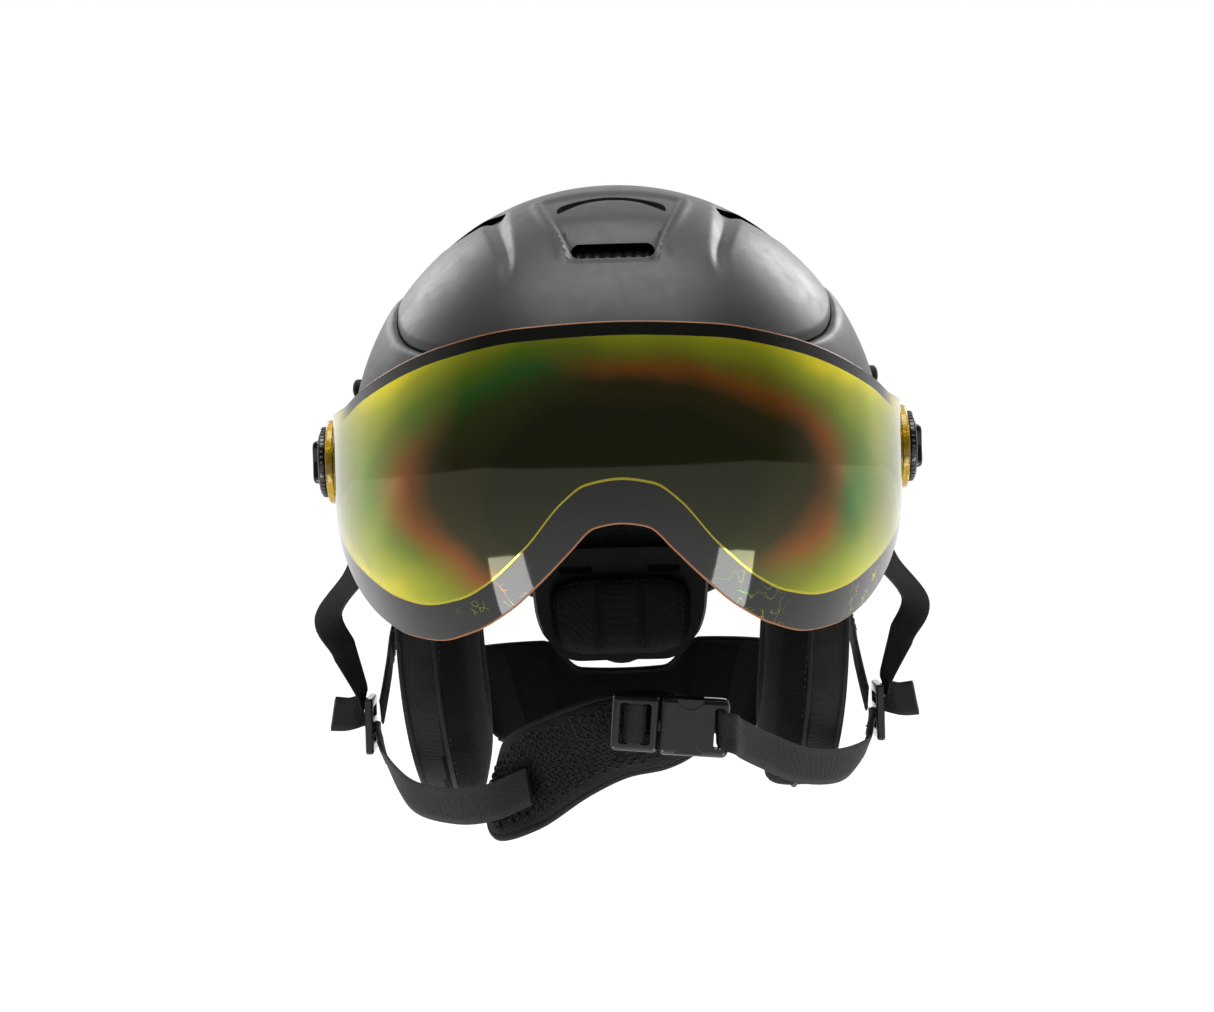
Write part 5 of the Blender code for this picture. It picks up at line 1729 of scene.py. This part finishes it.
    def chin_runs(self) -> list[StrapRun]:
        """The two chin straps."""
        left = (
            (-0.1061, -0.004, -0.1120), (-0.1058, -0.005, -0.1175), (-0.1015, -0.012, -0.1290),
            (-0.0900, -0.032, -0.1400),
            (-0.0720, -0.058, -0.1410), (-0.0555, -0.0780, -0.1370), (-0.0390, -0.0905, -0.1290),
        )
        right = (
            (0.1061, -0.004, -0.1120), (0.1058, -0.005, -0.1175), (0.1020, -0.014, -0.1280),
            (0.0900, -0.034, -0.1320), (0.0720, -0.060, -0.1280), (0.0570, -0.0810, -0.1195),
            (0.0460, -0.0985, -0.1120), (0.0420, -0.1068, -0.1085), (0.0380, -0.1072, -0.1070),
            (0.0358, -0.1030, -0.1066), (0.0358, -0.0980, -0.1066),
        )
        left_turns = ((0, -1, 0), (0, -1, 0), (0, -0.9, 0.45), (0.1, -0.5, 0.85), (0, -0.2, 1), (0, 0, 1),
                      (0.3, 0, 1))
        right_turns = ((0, -1, 0), (0, -1, 0), (0, -0.9, 0.45), (-0.1, -0.5, 0.85), (0, -0.2, 1),
                       *((0.0, 0.0, 1.0),) * 6)
        return [
            StrapRun("chin_webbing_left", "chin_loop", "chin_strap_left", left, left_turns),
            StrapRun("chin_webbing_right", "chin_loop", "chin_strap_right", right, right_turns),
        ]

    def slider(self, side: Side) -> None:
        """The three-bar slider, with rounded bars."""
        node = f"strap_slider_{side.word}"
        low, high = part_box(node)
        centre, size = (low + high) / 2, high - low
        name = f"slider_plate_{side.word}"
        mesh = block(name, size, Matrix.Translation(centre), 0.0011)
        plate = new_object(name, mesh, self.shop.palette["gloss"])
        for step in (-1, 1):
            hole = (size.x * 3, self.width + 0.001, 0.0045)
            spot = Matrix.Translation((centre.x, centre.y, centre.z + step * 0.0055))
            combine(plate, block("slot", hole, spot, 0.0006, 2))
        soften(plate, 0.00035)
        self.shop.fit(plate, f"slider_{side.word}", "gloss_black", node)

    def build(self) -> None:
        """Builds the straps."""
        for side in Side:
            front, rear, tail = self.side_runs(side)
            for run in (front, rear, tail):
                self.weave(run)
            self.bar_tack(rear, 24, 30)
            self.slider(side)
        for run in self.chin_runs():
            self.weave(run)
            self.bar_tack(run, 3, 9)


# ------------------------------------------------------------------ chin pad and buckle


@dataclass
class ChinPad:
    """The spacer-mesh pad under the chin, with round holes and a folded binding."""

    shop: Workshop
    thick: float = 0.0068
    hole_pitch: float = 0.0031
    path: Sequence[tuple[float, float, float]] = (
        (-0.0560, -0.0650, -0.1440), (-0.0410, -0.0790, -0.1290), (-0.0215, -0.0880, -0.1170),
        (-0.0040, -0.0910, -0.1100), (0.0140, -0.0905, -0.1080), (0.0310, -0.0850, -0.1090),
    )
    turns: Sequence[tuple[float, float, float]] = (
        (0.45, 0, 0.9), (0.25, 0, 1), (0.25, 0, 1), (0.1, 0, 1), (0, 0, 1), (0, 0, 1),
    )
    widths: Sequence[float] = (0.037, 0.038, 0.033, 0.031, 0.029, 0.020)

    def build(self) -> None:
        """Builds the pad, its mesh face and its binding."""
        steps = 24
        centres = smooth_path([Vector(p) for p in self.path], steps)
        turns = smooth_path([Vector(t).normalized() for t in self.turns], steps)
        spans = smooth_path([Vector((w, 0, 0)) for w in self.widths], steps)
        last = len(centres) - 1
        rings, spots, ways, border_top, border_foot = [], [], [], [], []
        travelled = 0.0
        row = 0
        for k, centre in enumerate(centres):
            heading = (centres[min(k + 1, last)] - centres[max(k - 1, 0)]).normalized()
            across = (turns[k] - heading * turns[k].dot(heading)).normalized()
            out = heading.cross(across)
            end_round = math.sqrt(max(1 - abs(2 * k / last - 1) ** 9, 0.02))
            half = spans[k].x / 2 * end_round
            ring = []
            for j in range(24):
                angle = 2 * math.pi * j / 24
                v = signed_power(math.cos(angle), 0.75)
                rise = signed_power(math.sin(angle), 0.55)
                full = 0.35 + 0.65 * end_round
                ring.append(centre + across * half * v + out * rise * self.thick / 2 * full)
            rings.append(ring)
            border_top.append(centre + across * half)
            border_foot.append(centre - across * half)
            if k and 3 < k < last - 3:
                travelled += (centres[k] - centres[k - 1]).length
                if travelled > self.hole_pitch * 0.87:
                    travelled = 0.0
                    row += 1
                    count = int(2 * (half - 0.004) / self.hole_pitch)
                    for m in range(count + 1):
                        v = (m - count / 2 + 0.5 * (row % 2)) * self.hole_pitch
                        if abs(v) < half - 0.0035:
                            for face in (1, -1):
                                rise = (1 - (abs(v) / half) ** 2.8) ** 0.28
                                spots.append(centre + across * v + out * face * rise * self.thick / 2)
                                ways.append(out * face)
        mesh = tube("chin_cushion", rings, 80)
        pad = self.shop.add("chin_cushion", mesh, "spacer", "chin_loop", "spacer_mesh", "chin_pad")
        self.shop.trim(self.shop.eyelets, "chin_mesh", headed_points("eyelets", spots, ways), "webbing",
                       "chin_loop", "spacer_mesh", Hole=0.00125, Yarn=0.00038)
        loop = border_top + border_foot[::-1]
        self.shop.trim(self.shop.piping, "chin_binding", polyline("binding", loop, True), "ribbed",
                       "chin_loop", "spacer_mesh", Radius=0.0017, Spacing=0.0020)


@dataclass
class Buckle:
    """The side-release buckle: a socket, and a plug with a ladder frame and two prongs."""

    shop: Workshop
    centre: tuple[float, float, float] = (0.0140, -0.1020, -0.1045)
    tilt: float = math.radians(5.0)
    socket_length: float = 0.027
    width: float = 0.023
    height: float = 0.0085
    wall: float = 0.0016
    plug_length: float = 0.0185
    strap: float = 0.016
    gap: float = 0.0004

    def space(self) -> Matrix:
        """Buckle space: X along the strap to the right, Y into the chin, Z up."""
        return Matrix.Translation(self.centre) @ Matrix.Rotation(self.tilt, 4, "Y")

    def block(self, size: tuple[float, float, float], centre: tuple[float, float, float],
              bevel: float = 0.0, segments: int = 3) -> bpy.types.Mesh:
        """A block in buckle space."""
        return block("block", size, self.space() @ Matrix.Translation(centre), bevel, segments)

    def socket(self) -> None:
        """The socket: crowned body, side windows, webbing slot and a round relief on its face."""
        middle = self.socket_length / 2 - 0.001
        room = self.height - 2 * self.wall
        palette = self.shop.palette
        body = self.block((self.socket_length, self.height, self.width), (middle, 0, 0), 0.0024, 5)
        socket = new_object("buckle_body", body, palette["gloss"])
        cavity_end = 0.0166
        combine(socket, self.block((cavity_end + 0.004, room, self.width - 2 * self.wall),
                                   (cavity_end / 2 - 0.002, 0, 0), 0.0004, 1))
        combine(socket, self.block((0.0105, room, self.width + 0.004), (0.0105, 0, 0), 0.0012, 3))
        slot = (0.0035, self.height + 0.004, self.strap)
        combine(socket, self.block(slot, (self.socket_length - 0.005, 0, 0), 0.0008, 2))
        for step in (1, -1):
            scoop = turned("scoop", ((0, 0), (0.0062, 0), (0.0062, 0.02), (0, 0.02)), 40,
                           self.space() @ Matrix.Translation((0.0105, -self.height / 2 - 0.0004 - 0.0012,
                                                              step * (self.width / 2 + 0.0016)))
                           @ Matrix.Rotation(math.pi / 2, 4, "X") @ Matrix.Translation((0, 0, -0.0022)))
            combine(socket, scoop)
        soften(socket, 0.0003, 35)
        self.shop.fit(socket, "chin_loop", "gloss_black", "buckle_socket")

    def plug(self) -> None:
        """The plug's ladder frame and tongue, with the webbing round its bar."""
        palette = self.shop.palette
        room = self.height - 2 * self.wall
        middle = -0.001 - self.gap - self.plug_length / 2
        size = (self.plug_length, self.height - 0.0015, self.width - 0.001)
        body = self.block(size, (middle, 0, 0), 0.0020, 4)
        plug = new_object("buckle_ladder", body, palette["gloss"])
        slot = (0.0038, self.height + 0.004, self.strap)
        for step in (-1, 1):
            combine(plug, self.block(slot, (middle + step * 0.0042, 0, 0), 0.0009, 2))
        combine(plug, self.block((0.014, room - 0.0012, 0.005), (0.005, 0, 0), 0.0008, 2), "UNION")
        soften(plug, 0.0003, 35)
        self.shop.fit(plug, "chin_loop", "gloss_black", "buckle_plug")
        shape = bmesh.new()
        rings = []
        for i in range(49):
            angle = 2 * math.pi * i / 48
            x = middle + 0.0044 * math.cos(angle)
            y = 0.0047 * math.sin(angle)
            ring = []
            for face in (1.0, 0.72):
                for j in range(7):
                    v = (-1 + 2 * j / 6) * (1 if face == 1.0 else -1)
                    rib = 1.0 + 0.05 * (i % 2)
                    spot = Vector((middle + (x - middle) * face * rib, y * face * rib, v * 0.0074))
                    ring.append(shape.verts.new(self.space() @ spot))
            rings.append(ring)
        for near, far in zip(rings, rings[1:-1]):
            for j in range(14):
                after = (j + 1) % 14
                shape.faces.new((near[j], near[after], far[after], far[j]))
        for j in range(14):
            after = (j + 1) % 14
            shape.faces.new((rings[-2][j], rings[-2][after], rings[0][after], rings[0][j]))
        for v in rings[-1]:
            shape.verts.remove(v)
        self.shop.add("plug_webbing", finished("plug_webbing", shape, 60), "webbing", "chin_loop", "webbing")

    def prongs(self) -> None:
        """The two springy prongs, whose pads show in the socket's side windows."""
        room = self.height - 2 * self.wall
        for side, word in ((1, "upper"), (-1, "lower")):
            lane = side * (self.width / 2 - self.wall - 0.0010 - 0.0016)
            arm = self.block((0.017, room - 0.0012, 0.0032), (-0.0008 + 0.0085, 0, lane), 0.0006, 2)
            prong = new_object(f"prong_arm_{word}", arm, self.shop.palette["gloss"])
            pad = self.block((0.0085, room - 0.0012, 0.003), (0.0105, 0, lane + side * 0.0022), 0.0009, 3)
            combine(prong, pad, "UNION")
            soften(prong, 0.0003, 35)
            self.shop.fit(prong, f"prong_{word}", "gloss_black", f"buckle_prong_{word}")

    def build(self) -> None:
        """Builds the buckle."""
        self.socket()
        self.plug()
        self.prongs()


# ------------------------------------------------------------------ studio


@dataclass
class Studio:
    """The camera, a pale floor and soft light."""

    eye: tuple[float, float, float] = (-0.0051, -1.0501, 0.0144)
    pitch: float = math.radians(-2.0)
    roll: float = math.radians(1.6)
    focal: float = 72.41
    floor_height: float = -0.70

    def camera(self) -> None:
        """Sets up the camera, level with the pivots and rolled a little."""
        data = bpy.data.cameras.new("camera")
        data.lens = self.focal
        data.sensor_width = 36.0
        camera = bpy.data.objects.new("camera", data)
        bpy.context.scene.collection.objects.link(camera)
        level = Matrix.Rotation(math.pi / 2 + self.pitch, 4, "X") @ Matrix.Rotation(-self.roll, 4, "Z")
        camera.matrix_world = Matrix.Translation(self.eye) @ level
        bpy.context.scene.camera = camera

    def floor(self) -> None:
        """A wide pale floor that glows with painted light, paler and brighter towards the back."""
        mesh = bpy.data.meshes.new("floor")
        reach = 12.0
        corners = [(-reach, -reach, self.floor_height), (reach, -reach, self.floor_height),
                   (reach, reach, self.floor_height), (-reach, reach, self.floor_height)]
        mesh.from_pydata(corners, [], [(0, 1, 2, 3)])
        shader = Shader("pale floor")
        split = shader.node("ShaderNodeSeparateXYZ")
        shader.feed(shader.space, split.inputs[0])
        # Painted light: the floor's colour and its glow both grow paler and brighter towards the back.
        back = shader.span(split.outputs[1], -0.2, 1.6, 0.0, 1.0)
        shader.put(Base_Color=shader.mix(back, (0.80, 0.80, 0.80), (0.92, 0.92, 0.92)), Roughness=0.8)
        glow = shader.span(back, 0.0, 1.0, 0.10, 0.60)
        shader.put(Emission_Color=(1.0, 1.0, 1.0, 1.0), Emission_Strength=glow)
        new_object("floor", mesh, shader.material)

    def light(self, name: str, place: tuple[float, float, float], size: tuple[float, float],
              power: float) -> None:
        """An area light that faces the helmet."""
        data = bpy.data.lights.new(name, "AREA")
        data.shape = "RECTANGLE"
        data.size, data.size_y = size
        data.energy = power
        lamp = bpy.data.objects.new(name, data)
        lamp.location = place
        lamp.visible_camera = False
        aim = (Vector((0, 0, 0)) - Vector(place)).to_track_quat("-Z", "Y")
        lamp.rotation_euler = aim.to_euler()
        bpy.context.scene.collection.objects.link(lamp)

    def world(self) -> None:
        """White all round for the eye, darker in front of the helmet for its reflections."""
        world = bpy.data.worlds.new("studio")
        world.use_nodes = True
        bpy.context.scene.world = world
        tree = world.node_tree
        background = tree.nodes["Background"]
        coordinate = tree.nodes.new("ShaderNodeTexCoord")
        split = tree.nodes.new("ShaderNodeSeparateXYZ")
        tree.links.new(coordinate.outputs["Generated"], split.inputs[0])
        sweep = tree.nodes.new("ShaderNodeMapRange")
        for key, value in zip((1, 2, 3, 4), (-0.5, 0.6, 0.05, 1.0)):
            sweep.inputs[key].default_value = value
        tree.links.new(split.outputs[1], sweep.inputs[0])
        lift = tree.nodes.new("ShaderNodeMath")
        lift.operation = "MAXIMUM"
        tree.links.new(sweep.outputs[0], lift.inputs[0])
        path = tree.nodes.new("ShaderNodeLightPath")
        tree.links.new(path.outputs["Is Camera Ray"], lift.inputs[1])
        tree.links.new(lift.outputs[0], background.inputs["Strength"])
        background.inputs["Color"].default_value = (1.0, 1.0, 1.0, 1.0)

    def build(self) -> None:
        """Sets up the studio."""
        bpy.context.scene.view_settings.view_transform = "Standard"
        self.camera()
        self.floor()
        self.world()
        self.light("overhead", (0.0, -0.3, 1.5), (1.5, 1.0), 22.0)
        self.light("rear_key", (1.3, 1.5, 1.2), (0.9, 0.9), 20.0)
        self.light("rear_fill", (-1.2, 1.6, 1.1), (0.9, 0.9), 10.0)
        for side in Side:
            x = side.value
            self.light(f"{side.word}_box", (x * 0.352, -0.471, -0.467), (0.19, 0.32), 1.2)


def main() -> None:
    """Builds the helmet around the frame."""
    logging.basicConfig(level=logging.INFO, format="%(name)s: %(message)s")
    shop = Workshop()
    Studio().build()
    assemblies = (HardShell(shop), Lining(shop), Visor(shop), FitSystem(shop), EarPads(shop), Webbing(shop),
                  ChinPad(shop), Buckle(shop))
    for assembly in assemblies:
        assembly.build()


if __name__ == "__main__":
    main()
